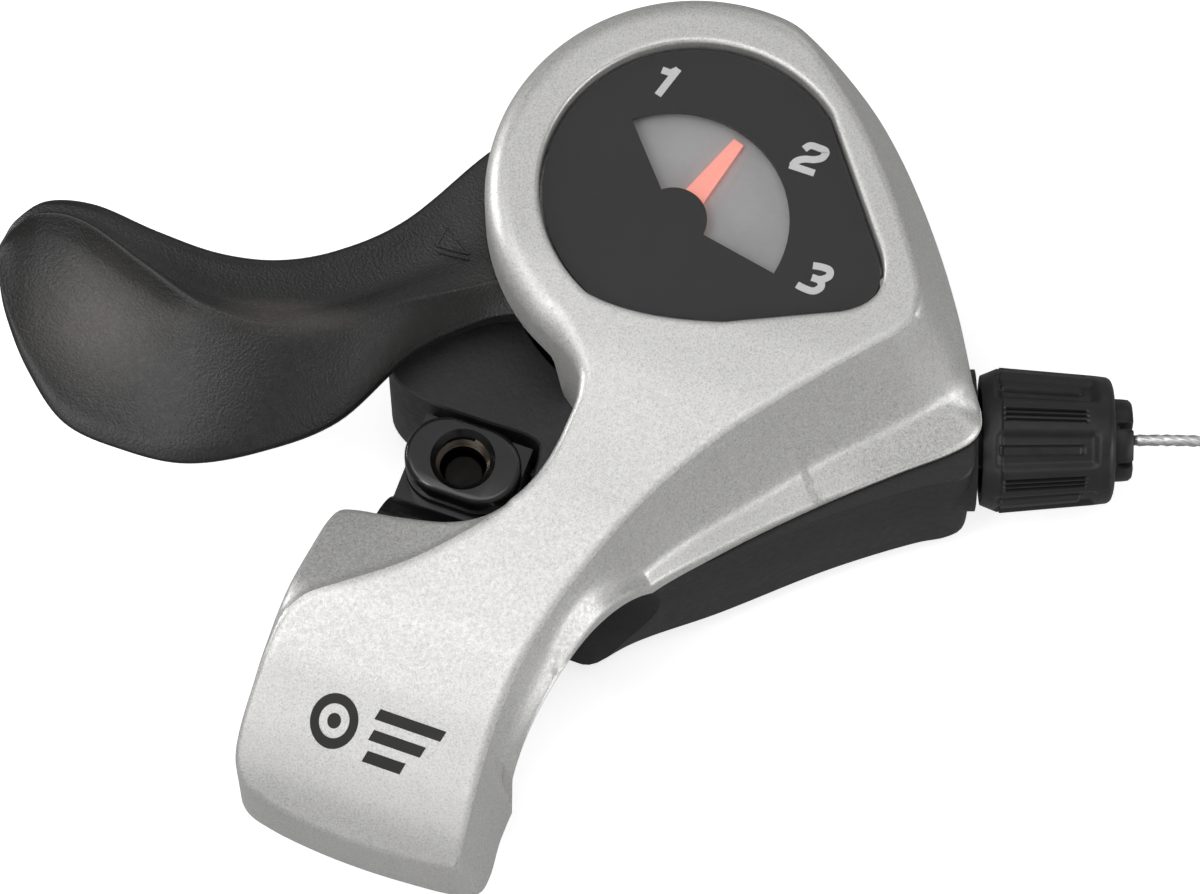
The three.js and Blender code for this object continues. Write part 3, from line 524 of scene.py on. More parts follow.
def smooth_line(points, step, closed=False):
    """An even, smooth polyline through control points of any width; x and y come first."""
    p = np.array(points, float)
    if closed:
        ext = np.vstack([p[-1], p, p[0], p[1]])
    else:
        ext = np.vstack([2 * p[0] - p[1], p, 2 * p[-1] - p[-2]])
    rows = []
    for a, b, c, d in zip(ext, ext[1:], ext[2:], ext[3:]):
        knots = [0.0]
        for u, v in ((a, b), (b, c), (c, d)):
            knots.append(knots[-1] + max(np.linalg.norm((v - u)[:2]), 1e-6) ** 0.5)
        t0, t1, t2, t3 = knots
        for t in np.linspace(t1, t2, 24, endpoint=False):
            a1 = (t1 - t) / (t1 - t0) * a + (t - t0) / (t1 - t0) * b
            a2 = (t2 - t) / (t2 - t1) * b + (t - t1) / (t2 - t1) * c
            a3 = (t3 - t) / (t3 - t2) * c + (t - t2) / (t3 - t2) * d
            b1 = (t2 - t) / (t2 - t0) * a1 + (t - t0) / (t2 - t0) * a2
            b2 = (t3 - t) / (t3 - t1) * a2 + (t - t1) / (t3 - t1) * a3
            rows.append((t2 - t) / (t2 - t1) * b1 + (t - t1) / (t2 - t1) * b2)
    rows.append(ext[-2] if not closed else rows[0])
    rows = np.array(rows)
    walked = np.concatenate([[0], np.cumsum(np.linalg.norm(np.diff(rows[:, :2], axis=0), axis=1))])
    count = max(3, int(round(walked[-1] / step)))
    at = np.linspace(0, walked[-1], count + 1)
    out = np.stack([np.interp(at, walked, rows[:, k]) for k in range(rows.shape[1])], axis=1)
    return out[:-1] if closed else out


def line_distance(points, line, closed=False):
    """Distance of each point from a polyline, positive on its left, and the line's values there."""
    best = np.full(len(points), 1e18)
    side = np.ones(len(points))
    carried = np.zeros((len(points), line.shape[1]))
    ends = np.roll(line, -1, axis=0) if closed else line[1:]
    for a, b in zip(line, ends):
        d = b[:2] - a[:2]
        span = d @ d
        if span < 1e-12:
            continue
        rel = points - a[:2]
        t = np.clip(rel @ d / span, 0, 1)
        gap = rel - t[:, None] * d
        dist = (gap ** 2).sum(1)
        near = dist < best
        best[near] = dist[near]
        side[near] = np.where(d[0] * rel[near, 1] - d[1] * rel[near, 0] < 0, -1.0, 1.0)
        carried[near] = a + t[near, None] * (b - a)
    return np.sqrt(best) * side, carried


def soft_min(a, b, k):
    h = np.clip(0.5 + 0.5 * (b - a) / k, 0, 1)
    return b * (1 - h) + a * h - k * h * (1 - h)


def soft_max(a, b, k):
    return -soft_min(-a, -b, k)


def ramp(value, start, end):
    t = np.clip((value - start) / (end - start), 0, 1)
    return t * t * (3 - 2 * t)


def fillet(depth, radius):
    """How far a rounded edge lies below its face, at a depth in from the side."""
    r = np.maximum(radius, 1e-6)
    inside = np.clip(r - depth, 0, r)
    return r - np.sqrt(np.maximum(r * r - inside * inside, 0))


def inside(points, loop):
    """Even-odd test of points against a closed loop."""
    odd = np.zeros(len(points), bool)
    for a, b in zip(loop, np.roll(loop, -1, axis=0)):
        cross = (a[1] > points[:, 1]) != (b[1] > points[:, 1])
        with np.errstate(divide="ignore", invalid="ignore"):
            x = (b[0] - a[0]) * (points[:, 1] - a[1]) / (b[1] - a[1]) + a[0]
        odd ^= cross & (points[:, 0] < x)
    return odd


def inward(loop):
    """Unit normals of a closed loop, pointing into it."""
    tangent = np.roll(loop, -1, axis=0)[:, :2] - np.roll(loop, 1, axis=0)[:, :2]
    tangent /= np.linalg.norm(tangent, axis=1)[:, None]
    normal = np.stack([-tangent[:, 1], tangent[:, 0]], axis=1)
    area = 0.5 * (loop[:, 0] * np.roll(loop[:, 1], -1) - np.roll(loop[:, 0], -1) * loop[:, 1]).sum()
    return normal if area > 0 else -normal


def clockwise(loop):
    step = loop[1] - loop[0]
    return inward(loop)[0] @ np.array([-step[1], step[0]]) < 0


SLIVER_AREA = 1e-7


def fill(loops, extra):
    """Triangles over the region inside the first loop and outside the others, through the extra points.
    Returns all the points, the loops' first, and the triangles."""
    points = np.vstack([loop[:, :2] for loop in loops] + ([extra] if len(extra) else []))
    edges, start = [], 0
    for loop in loops:
        n = len(loop)
        edges += [(start + i, start + (i + 1) % n) for i in range(n)]
        start += n
    found = geometry.delaunay_2d_cdt([Vector(p) for p in points], edges, [], 0, 1e-7)
    corner, faces, source = np.array([tuple(v) for v in found[0]]), np.array(found[2]), found[3]
    centre = corner[faces].mean(axis=1)
    keep = inside(centre, loops[0][:, :2])
    for loop in loops[1:]:
        keep &= ~inside(centre, loop[:, :2])
    order = np.array([ids[0] if ids else -1 for ids in source])
    if (order < 0).any():
        raise RuntimeError("outlines cross each other")
    faces = order[faces[keep]]
    a, b, c = points[faces[:, 0]], points[faces[:, 1]], points[faces[:, 2]]
    area = (b[:, 0] - a[:, 0]) * (c[:, 1] - a[:, 1]) - (b[:, 1] - a[:, 1]) * (c[:, 0] - a[:, 0])
    faces[area < 0] = faces[area < 0][:, ::-1]
    return points, faces[np.abs(area) > SLIVER_AREA]


def field_points(loop, radius, spacing, holes, hole_radius, seams=()):
    """Inner points for a field: rows that follow the rounded edge and the seams, then an even grid."""
    normal = inward(loop)
    rows = []
    for share in (0.04, 0.15, 0.32, 0.55, 0.8, 1.05):
        rows.append(loop[:, :2] + normal * (radius * share)[:, None])
    for hole in holes:
        out = -inward(hole)
        for share in (0.06, 0.3, 0.6, 1.05):
            rows.append(hole[:, :2] + out * hole_radius * share)
    rows = np.vstack(rows)
    low, high = loop[:, :2].min(axis=0), loop[:, :2].max(axis=0)
    xs = np.arange(low[0], high[0], spacing)
    ys = np.arange(low[1], high[1], spacing * 0.866)
    gx, gy = np.meshgrid(xs, ys)
    gx = gx + (np.arange(len(ys)) % 2 * spacing / 2)[:, None]
    grid = np.stack([gx.ravel(), gy.ravel()], axis=1)
    carried_loop = np.hstack([loop[:, :2], radius[:, None]])

    def clear(points, margin, wide):
        depth, carried = line_distance(points, carried_loop, True)
        ok = inside(points, loop[:, :2]) & (np.abs(depth) > (carried[:, 2] * wide + margin))
        for hole in holes:
            gap, _ = line_distance(points, hole, True)
            ok &= ~inside(points, hole[:, :2]) & (np.abs(gap) > hole_radius * wide + margin)
        return points[ok]

    rows = clear(rows, 0.003, 0.02)
    grid = clear(grid, 0.1, 1.06)
    for seam in seams:
        beside = []
        for shift in (-0.9, -0.45, 0.0, 0.45, 0.9):
            along = np.diff(seam, axis=0)
            along = np.vstack([along, along[-1:]])
            along /= np.linalg.norm(along, axis=1)[:, None]
            beside.append(seam + shift * np.stack([-along[:, 1], along[:, 0]], axis=1))
        beside = clear(np.vstack(beside), 0.1, 1.06)
        grid = grid[np.abs(line_distance(grid, seam)[0]) > 0.9 + 0.5 * spacing]
        grid = np.vstack([grid, beside])
    cells = {}
    for p in rows:
        cells.setdefault((round(p[0] / 0.04), round(p[1] / 0.04)), p)
    return np.vstack([np.array(list(cells.values())), grid])


# ---- top cover ----------------------------------------------------------------------------

HEAD_RADIUS = 20.3
DIAL_RADIUS = 15.1
DIAL_SEAT = 17.4
ROOF_UNDERSIDE = 16.4
NEEDLE_PIVOT = polar(3.6, -108, PIVOT)
BORE_RADIUS = 12.2
ARM_SLOT_TOP = 13.8
COVER_BOTTOM = 6.5
WALL_THICKNESS = 1.5
ROOF_THICKNESS = 1.9


def head_arc(start, end, step):
    count = max(1, round(abs(end - start) / step))
    return [polar(HEAD_RADIUS, start + (end - start) * i / count, PIVOT) for i in range(count + 1)]


# Plan outline, clockwise from the stem-side tip, with the radius of its rounded top edge.
COVER_OUTLINE = (
    [(45.7, 36.9, 0.5), (45.35, 35.5, 0.5), (43.7, 33.5, 0.45), (39.9, 30.1, 0.4), (33.4, 23.9, 0.4),
     (26.3, 16.2, 0.4), (21.3, 9.9, 0.4), (18.6, 4.2, 0.4), (16.8, -2.0, 0.4), (15.5, -9.0, 0.5),
     (15.2, -14.5, 0.6), (15.5, -18.4, 0.7), (15.2, -20.2, 0.5), (13.9, -21.1, 0.4), (8.2, -21.8, 0.4),
     (0.6, -21.9, 0.4), (-6.0, -21.2, 0.4), (-8.6, -20.4, 0.45), (-9.8, -18.9, 0.5), (-10.1, -12.0, 0.6),
     (-10.1, -5.0, 0.6), (-9.7, 1.5, 0.6), (-9.3, 5.2, 0.6), (-8.7, 6.5, 0.6), (-7.3, 6.9, 0.6),
     (-2.8, 7.0, 0.6), (2.2, 7.4, 0.6), (5.1, 8.6, 0.6), (7.2, 10.8, 0.7), (8.6, 13.6, 0.8), (9.3, 16.4, 0.8),
     (9.6, 19.7, 0.8), (9.6, 22.3, 0.9), (8.9, 24.4, 1.2), (7.3, 25.9, 1.6)]
    + [(x, y, 2.3) for x, y in head_arc(246, 66, 10)]
    + [(25.9, 61.6, 1.6), (29.8, 58.2, 1.0), (33.4, 54.4, 0.8), (36.8, 50.2, 0.7), (40.3, 45.4, 0.6),
       (43.4, 41.1, 0.6), (45.3, 38.3, 0.5)])

# The crease between the top and the stem-side flank, from the head's front to the flap's end.
CREASE = [(8, 71), (15.5, 66.2), (21.7, 61.2), (25.8, 57.6), (30.0, 53.0), (34.6, 46.9), (36.8, 43.2),
          (37.3, 40.6), (36.3, 38.3), (34.8, 36.5), (30.4, 31.2), (24.9, 24.2), (21.8, 19.5), (19.4, 15.1),
          (16.8, 8.8),
          (14.6, 1.8), (13.4, -4.9), (13.1, -10.7), (13.2, -15.3), (13.4, -20.3), (13.8, -27)]
# The line where the flank meets the flatter ledge above the base.
LEDGE = [(24, 74), (31, 66), (36.5, 57.5), (41.4, 49.4), (43.4, 44.0), (42.9, 40.4), (40.9, 37.0),
         (38.0, 33.6),
         (33.4, 28.7), (27.2, 21.0), (22.6, 15.0), (19.4, 9.3), (17.4, 4.2), (16.4, -1.2), (15.6, -9.0),
         (15.6, -16.0), (16.2, -28)]
# The crease above the facet that falls away to the clamp, from the neck to the flap's left side.
FACET = [(10.3, 30), (9.9, 22), (9.7, 19), (9.3, 16), (8.8, 13.4), (7.6, 10.8), (5.8, 8.2), (3.8, 5.8),
         (0.2, 2.1),
         (-4.9, -1.8), (-8.1, -4.2), (-9.3, -6.3), (-9.8, -9.4), (-10.5, -14), (-11.5, -22)]
TOP_PROFILE = [(-30, -7), (-22.5, 2.4), (-20.7, 4.9), (-19.3, 6.9), (-15.5, 10.6), (-10, 13.9), (-3, 16.6),
               (5, 17.9), (12, 18.9), (20, 19.7), (27, 20.5), (34, 21), (75, 21)]


def interp_smooth(value, pairs):
    at = np.linspace(pairs[0][0], pairs[-1][0], 500)
    heights = np.interp(at, [p[0] for p in pairs], [p[1] for p in pairs])
    kernel = np.hanning(25)
    padded = np.pad(heights, 12, mode="edge")
    padded[:12] = heights[0] + (np.arange(-12, 0)) * (heights[1] - heights[0])
    return np.interp(value, at, np.convolve(padded, kernel / kernel.sum(), mode="valid"))


def cover_edge_level(points):
    """The cover's lower edge: over the bar's bore on the flap, over the lever's arm on the head."""
    x, y = points[:, 0], points[:, 1]
    bore = np.sqrt(np.maximum(BORE_RADIUS ** 2 - y * y, 0))
    over_bar = np.where(y < -11.4, -4.5, np.maximum(bore, COVER_BOTTOM))
    over_bar = np.where((y < 0) & (y >= -11.4), np.maximum(bore, -4.5), over_bar)
    level = np.where(y < 12.2, over_bar, COVER_BOTTOM)
    angle = np.degrees(np.arctan2(y - PIVOT[1], x - PIVOT[0])) % 360
    slot = ramp(angle, 113, 117) * (1 - ramp(angle, 247, 252))
    return np.where(y > 24, COVER_BOTTOM + (ARM_SLOT_TOP - COVER_BOTTOM) * slot, level)


cover_loop = smooth_line(COVER_OUTLINE, 0.42, closed=True)
crease_line = smooth_line(CREASE, 0.5)
ledge_line = smooth_line(LEDGE, 0.5)
facet_line = smooth_line(FACET, 0.5)


def dial_outline(step):
    """The dial's plan outline: round, with one soft corner on the right."""
    arc = [polar(DIAL_RADIUS, 50 + 196 * i / 60, PIVOT) for i in range(61)]

    def bend(p0, p1, p2, count):
        return [tuple((1 - t) ** 2 * a + 2 * t * (1 - t) * b + t * t * c for a, b, c in zip(p0, p1, p2))
                for t in (i / count for i in range(1, count + 1))]

    rear = bend(arc[-1], (12.2, 31.0), (20.3, 33.6), 16)
    straight = [(30.4, 38.4)]
    corner = bend(straight[-1], (34.9, 41.1), (31.9, 45.6), 14)
    line = np.array(arc + rear + straight + corner)
    closed = np.vstack([line, line[:1]])
    walked = np.concatenate([[0], np.cumsum(np.linalg.norm(np.diff(closed, axis=0), axis=1))])
    at = np.linspace(0, walked[-1], int(walked[-1] / step) + 1)[:-1]
    return np.stack([np.interp(at, walked, closed[:, k]) for k in (0, 1)], axis=1)


dial = dial_outline(0.45)


def cover_height(points):
    """Height of the cover's outer skin."""
    x, y = points[:, 0], points[:, 1]
    depth, carried = line_distance(points, cover_loop, True)
    depth = np.abs(depth)
    top = interp_smooth(y, TOP_PROFILE)
    out_of_crease, at_crease = line_distance(points, crease_line)
    past_ledge, at_ledge = line_distance(points, ledge_line)
    crest = interp_smooth(at_crease[:, 1], TOP_PROFILE)
    edge = cover_edge_level(carried[:, :2]) + 0.3
    edge = np.where(carried[:, 1] > 24, COVER_BOTTOM + 0.5, edge)
    rise = 2.5 * ramp(at_ledge[:, 1], -3, 6) * (1 - ramp(at_ledge[:, 1], 38, 44))
    ledge = edge + rise
    width = np.maximum(out_of_crease - past_ledge, 0.8)
    share = np.clip(out_of_crease / width, 0, 1)
    sag = 0.9 * np.sin(math.pi * share) * (1 - 0.45 * share)
    flank = crest - (crest - ledge) * out_of_crease / width - sag
    strip = np.maximum(past_ledge + depth, 0.3)
    shelf = ledge - np.minimum(rise / strip, 0.7) * past_ledge
    side = soft_max(flank, np.where(rise > 0.05, shelf, edge - 6), 0.9)
    side = np.where(out_of_crease < -3, 60, side)
    top = soft_min(top, side, 0.9)
    past_facet, _ = line_distance(points, facet_line)
    past_facet = -past_facet
    fall = 0.66 * np.maximum(past_facet, -4) + 0.1 + 0.45 * ramp(past_facet, -0.1, 0.6)
    hollow = interp_smooth(y, TOP_PROFILE) - fall + 80 * ramp(y, 10, 24)
    top = soft_min(top, hollow, 0.35)
    top = top - fillet(depth, carried[:, 2])
    gap, _ = line_distance(points, dial, True)
    return np.maximum(top - fillet(np.abs(gap), 0.45), edge - 0.1)


def relaxed(loop, normal, distance):
    """A closed loop moved inwards, with its tight corners eased so that it doesn't cross itself."""
    weights = np.hanning(15)
    weights /= weights.sum()
    eased = sum(w * np.roll(normal, k - 7, axis=0) for k, w in enumerate(weights))
    line = loop + eased * distance
    for _ in range(14):
        line = 0.5 * line + 0.25 * (np.roll(line, 1, axis=0) + np.roll(line, -1, axis=0))
    return line


def make_cover():
    loop, radius = cover_loop[:, :2], cover_loop[:, 2]
    spacing = 0.36
    seams = [smooth_line(line, 0.45) for line in (CREASE, FACET)]
    points, faces = fill([cover_loop, dial], field_points(cover_loop, radius, spacing, [dial], 0.45, seams))
    z = cover_height(points)
    count, rim = len(loop), len(dial)
    edge = cover_edge_level(loop)
    edge = np.minimum(edge, z[:count] - 0.25)
    vertices = [(*p, h) for p, h in zip(points, z)]
    polygons = [tuple(f) for f in faces]

    def band(upper, lower, flip):
        n = len(upper)
        for i in range(n):
            k = (i + 1) % n
            quad = (upper[i], upper[k], lower[k], lower[i])
            polygons.append(quad[::-1] if flip else quad)

    def ring(xy, heights):
        start = len(vertices)
        vertices.extend((p[0], p[1], h) for p, h in zip(xy, heights))
        return list(range(start, start + len(xy)))

    flip = not clockwise(loop)
    normal = inward(loop)
    upper = list(range(count))
    for share in (0.3, 0.65, 0.93):
        lower = ring(loop, z[:count] + (edge - z[:count]) * share)
        band(upper, lower, flip)
        upper = lower
    inner_loop = relaxed(loop, normal, WALL_THICKNESS)
    for xy in (loop + normal * 0.12, inner_loop):
        lower = ring(xy, edge)
        band(upper, lower, flip)
        upper = lower
    smooth_inner = smooth_line(inner_loop[::6], 1.2, closed=True)
    axle = np.array([polar(2.2, 360 * i / 20, NEEDLE_PIVOT) for i in range(20)])
    under_extra = field_points(np.hstack([smooth_inner, np.full((len(smooth_inner), 1), 0.3)]),
                               np.full(len(smooth_inner), 0.3), 1.5, [axle], 0.3)
    inner_full = np.hstack([inner_loop, np.full((count, 1), 0.1)])
    keep = np.abs(line_distance(under_extra, inner_full, True)[0]) > 0.3
    under_extra = under_extra[keep & inside(under_extra, inner_loop)]
    under, under_faces = fill([inner_loop, axle], under_extra)
    under_z = cover_height(under) - ROOF_THICKNESS
    in_head = (np.hypot(under[:, 0] - PIVOT[0], under[:, 1] - PIVOT[1]) < 19.5)
    under_z = np.where(in_head, np.minimum(under_z, ROOF_UNDERSIDE), under_z)
    floor_level = cover_edge_level(under) + 0.12
    under_z = np.maximum(under_z, floor_level)
    under_z[:count] = np.maximum(under_z[:count], edge + 0.12)
    start = len(vertices)
    vertices.extend((p[0], p[1], h) for p, h in zip(under, under_z))
    band(upper, list(range(start, start + count)), flip)
    polygons.extend(tuple(int(i) + start for i in f[::-1]) for f in under_faces)
    top_rim = list(range(count, count + rim))
    seat_rim = ring(dial, np.full(rim, DIAL_SEAT))
    band(top_rim, seat_rim, clockwise(dial))
    floor_points, floor_faces = fill([dial, axle], np.zeros((0, 2)))
    base = len(vertices)
    vertices.extend((p[0], p[1], DIAL_SEAT) for p in floor_points[rim:])
    ids = seat_rim + list(range(base, base + len(axle)))
    polygons.extend(tuple(ids[i] for i in f) for f in floor_faces)
    well_top = list(range(base, base + len(axle)))
    well_low = list(range(start + count, start + count + len(axle)))
    band(well_top, well_low, False)
    new_piece("cover_shell", vertices, polygons, SILVER, "housing", "silver_cover", "top_cover", crease=38)


make_cover()

# ---- thumb lever --------------------------------------------------------------------------

# Stations from the root to the tip: front edge, ridge, rear edge, underside level,
# depth of the valley before the ridge and of the thumb's dish behind it.
LEVER_STATIONS = [
    ((-0.4, 54.5, 13.1), (1.6, 36.6, 13.1), (3.0, 31.6, 12.0), 8.4, 0.2, -0.2),
    ((-4.3, 50.6, 13.2), (-1.6, 34.2, 13.2), (-0.6, 30.9, 11.8), 8.4, 0.3, -0.2),
    ((-8.2, 45.2, 13.5), (-5.0, 31.6, 13.4), (-3.9, 28.8, 11.2), 8.4, 0.5, -0.3),
    ((-12.9, 36.0, 14.2), (-9.8, 28.2, 14.1), (-8.2, 24.2, 10.9), 8.5, 0.75, -0.4),
    ((-17.6, 30.5, 15.2), (-15.4, 23.2, 15.7), (-12.3, 15.4, 11.3), 9.0, 0.9, -0.4),
    ((-22.5, 26.9, 16.6), (-20.9, 19.9, 17.5), (-18.1, 9.5, 12.4), 10.2, 0.9, -0.1),
    ((-27.9, 25.0, 18.2), (-27.1, 18.9, 19.1), (-24.0, 5.8, 13.2), 11.2, 0.65, 0.7),
    ((-33.9, 24.5, 19.8), (-33.5, 20.3, 20.3), (-30.0, 4.8, 13.8), 11.9, 0.25, 1.7),
    ((-40.2, 24.7, 20.7), (-40.3, 22.2, 20.9), (-36.2, 5.2, 14.6), 12.6, 0.05, 2.0),
    ((-44.7, 23.5, 20.7), (-44.5, 21.7, 20.8), (-41.2, 8.6, 15.8), 14.0, 0.0, 1.5),
    ((-46.9, 21.0, 20.0), (-46.6, 19.7, 20.1), (-44.9, 12.6, 17.2), 15.6, 0.0, 0.7),
    ((-47.5, 18.9, 19.0), (-47.4, 18.2, 19.0), (-46.8, 15.6, 18.2), 17.2, 0.0, 0.1),
]


def lever_section(front, ridge, rear, under, valley, dish):
    """One closed section of the lever: over the top from front to rear, and back underneath."""
    f, r, g = (np.array(p, float) for p in (front, ridge, rear))
    across = (g - f) * (1, 1, 0)
    across /= np.linalg.norm(across)
    up = np.array((0, 0, 1.0))
    size = min(1.0, np.linalg.norm((g - f)[:2]) / 8)

    def behind(t, share):
        return r + (g - r) * t - up * dish * share

    low_front = f - up * 2.6 * size
    low_rear = g - across * 1.5 * size
    return np.array([
        low_front + across * 0.7 * size,
        f - up * 1.5 * size - across * 0.05,
        f - up * 0.55 * size + across * 0.1 * size,
        f - up * 0.08 + across * 0.8 * size,
        f + (r - f) * 0.4 - up * valley * 0.75,
        f + (r - f) * 0.68 - up * valley,
        f + (r - f) * 0.88 - up * valley * 0.35,
        r, behind(0.06, 0.55), behind(0.14, 1.0), behind(0.36, 1.12), behind(0.6, 0.85), behind(0.82, 0.4),
        behind(0.95, 0.08) - up * 0.05,
        g + across * 0.25 * size - up * 0.55 * size,
        np.array((*(g - across * 0.1)[:2], under + 0.6 * size)),
        np.array((*low_rear[:2], under)),
        np.array((*(f * 0.35 + g * 0.65)[:2], under + 0.35 * (low_front[2] - under))),
        np.array((*(f * 0.75 + g * 0.25)[:2], under + 0.8 * (low_front[2] - under))),
    ])


def make_lever():
    along, around = ((10, 4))
    sections = [lever_section(*station) for station in LEVER_STATIONS]
    n = len(sections[0])
    dense = []
    for ring in sections:
        dense.append(np.array([catmull(*(ring[(i + k) % n] for k in (-1, 0, 1, 2)), j / around)
                               for i in range(n) for j in range(around)]))
    rings = []
    ext = [2 * dense[0] - dense[1]] + dense + [2 * dense[-1] - dense[-2]]
    for a, b, c, d in zip(ext, ext[1:], ext[2:], ext[3:]):
        rings += [catmull(a, b, c, d, t / along) for t in range(along)]
    rings.append(dense[-1])
    centre = rings[-1].mean(axis=0)
    for share in (0.72, 0.36):
        rings.append(centre + (dense[-1] - centre) * share + np.array((-0.35, -0.05, 0)) * (1 - share ** 2))
    m = n * around
    vertices = [tuple(p) for ring in rings for p in ring] + [tuple(centre + np.array((-0.36, -0.05, 0)))]
    faces = ring_faces(len(rings), m)[:-1]
    last = (len(rings) - 1) * m
    faces += [(last + i, last + (i + 1) % m, len(vertices) - 1) for i in range(m)]
    return new_piece("lever_arm", vertices, faces, LEVER_PLASTIC, "lever", "lever_plastic", crease=60)


def lathe(name, profile, centre, segments=96):
    """A closed profile of (radius, level) pairs turned about a vertical axis."""
    vertices = [(*polar(radius, 360 * s / segments, centre), level)
                for s in range(segments) for radius, level in profile]
    obj = mesh_object(name, vertices, ring_faces(segments, len(profile), looped=True))
    face_outwards(obj)
    return obj


HUB_PROFILE = [(5.6, 6.9), (10.6, 6.9), (10.6, 10.4), (16, 10.4), (16, 6.9), (17.5, 6.9), (17.9, 7.3),
               (17.9, 12.7), (17.4, 13.2), (7.6, 13.2), (7.6, 8.9), (5.6, 8.9)]
lever = make_lever()
dress(lathe("lever_hub", HUB_PROFILE, PIVOT), HUB_PLASTIC, "lever", "lever_plastic", 30, "thumb_lever")


# ---- printed marks ------------------------------------------------------------------------

def ribbon(name, paths, width, height, lift, thickness, material, body, slot):
    """Printed or raised strokes of even width that follow a surface, each a closed strip along its path."""
    vertices, faces = [], []
    for k, path in enumerate(paths):
        p = np.array(path, float)
        tangent = np.gradient(p, axis=0)
        tangent /= np.linalg.norm(tangent, axis=1)[:, None]
        normal = np.stack([-tangent[:, 1], tangent[:, 0]], axis=1) * width / 2
        left, right = p + normal, p - normal
        z_left, z_right = height(left) + lift, height(right) + lift
        start = len(vertices)
        rise = thickness + 0.004 * k
        for a, b, za, zb in zip(left, right, z_left, z_right):
            vertices += [(*a, za + rise), (*b, zb + rise), (*b, zb), (*a, za)]
        faces += ring_faces(len(p), 4, start)
    new_piece(name, vertices, faces, material, body, slot)


def decal(name, outlines, height, lift, thickness, material, body, slot):
    """A thin printed layer on a surface. Each outline is a list of loops, holes after the first."""
    spacing = 0.5
    vertices, faces = [], []
    for loops in outlines:
        loops = [resampled(loop, 0.25) for loop in loops]
        low, high = loops[0].min(axis=0), loops[0].max(axis=0)
        gx, gy = np.meshgrid(np.arange(low[0], high[0], spacing), np.arange(low[1], high[1], spacing))
        grid = np.stack([gx.ravel(), gy.ravel()], axis=1)
        ok = inside(grid, loops[0])
        for k, loop in enumerate(loops):
            ok &= np.abs(line_distance(grid, loop, True)[0]) > 0.12
            if k:
                ok &= ~inside(grid, loop)
        points, triangles = fill(loops, grid[ok])
        level = height(points) + lift
        start, count = len(vertices), len(points)
        vertices += [(*p, z + thickness) for p, z in zip(points, level)]
        vertices += [(*p, z) for p, z in zip(points, level)]
        faces += [tuple(int(i) + start for i in t) for t in triangles]
        faces += [tuple(int(i) + start + count for i in t[::-1]) for t in triangles]
        begin = start
        for loop in loops:
            n = len(loop)
            for i in range(n):
                k = (i + 1) % n
                faces.append((begin + i, begin + count + i, begin + count + k, begin + k))
            begin += n
    new_piece(name, vertices, faces, material, body, slot)


def resampled(loop, step):
    line = np.array(loop, float)
    closed = np.vstack([line, line[:1]])
    out = []
    for a, b in zip(closed, closed[1:]):
        n = max(1, int(np.linalg.norm(b - a) / step))
        out += [a + (b - a) * i / n for i in range(n)]
    return np.array(out)


def flat(level):
    return lambda points: np.full(len(points), level)


# Numerals as strokes in a box one unit high, leaning to the right.
NUMERALS = {
    "1": ([[(-0.28, 0.30), (0.0, 0.30), (0.14, 0.46)], [(0.12, 0.5), (0.12, -0.5)]], False),
    "2": ([[(-0.34, 0.22), (-0.26, 0.38), (0.0, 0.40), (0.27, 0.36), (0.30, 0.14), (0.12, 0.0), (-0.14, -0.08),
            (-0.30, -0.22), (-0.32, -0.40)], [(-0.40, -0.40), (0.40, -0.40)]], True),
    "3": ([[(-0.32, 0.36), (-0.1, 0.40), (0.2, 0.38), (0.30, 0.2), (0.14, 0.02), (-0.12, 0.0)],
           [(-0.12, 0.0), (0.16, -0.02), (0.30, -0.2), (0.2, -0.38), (-0.1, -0.40), (-0.36, -0.36)]], True),
}
NUMERAL_PLACES = {"1": (6.4, 55.6), "2": (22.3, 52.7), "3": (26.9, 41.1)}
NUMERAL_HEIGHT = 3.3


def numeral(name):
    strokes, rounded = NUMERALS[name]
    cx, cy = NUMERAL_PLACES[name]
    paths = []
    for path in strokes:
        line = smooth_line(path, 0.05) if rounded and len(path) > 2 else resampled_open(path, 0.1)
        slanted = [(x * 0.95 + y * 0.28, y) for x, y in line]
        paths.append([(cx + x * NUMERAL_HEIGHT, cy + y * NUMERAL_HEIGHT) for x, y in slanted])
    return paths


def resampled_open(path, step):
    out = []
    for a, b in zip(path, path[1:]):
        n = max(1, int(math.dist(a, b) / step))
        out += [(a[0] + (b[0] - a[0]) * i / n, a[1] + (b[1] - a[1]) * i / n) for i in range(n)]
    return out + [path[-1]]


DIAL_TOP = 19.7
for name in "123":
    ribbon(f"dial_numeral_{name}", numeral(name), 0.72, flat(DIAL_TOP), 0.004, 0.03, DIAL_PRINT, "housing",
           "dial_grey")


def circle(centre, radius, count):
    return np.array([polar(radius, 360 * i / count, centre) for i in range(count)])


def bar_outline(x0, x1, y, width):
    low, high, lean = y - width / 2, y + width / 2, width * 0.3
    return np.array([(x0, low), (x1, low), (x1 + lean, high), (x0 + lean, high)])


# A generic printed mark on the flap: a ring with a dot, and three bars of falling length
RING_CENTRE = (-1.6, -13.6)
mark = [[circle(RING_CENTRE, 2.3, 48), circle(RING_CENTRE, 1.45, 48)], [circle(RING_CENTRE, 0.65, 24)]]
mark += [[bar_outline(2.0, end, y, 0.95)] for end, y in ((8.6, -11.9), (7.2, -13.7), (5.8, -15.5))]
decal("flap_mark", mark, cover_height, 0.012, 0.03, MARK_PRINT, "housing", "black_plastic")


# ---- raised mark on the lever's root --------------------------------------------------------


def lever_skin(points):
    """Height of the lever's top under each point."""
    corners = [v.co / MM for v in lever.data.vertices]
    tree = BVHTree.FromPolygons(corners, [p.vertices for p in lever.data.polygons])
    return np.array([tree.ray_cast(Vector((x, y, 60)), Vector((0, 0, -1)))[0].z for x, y in points])


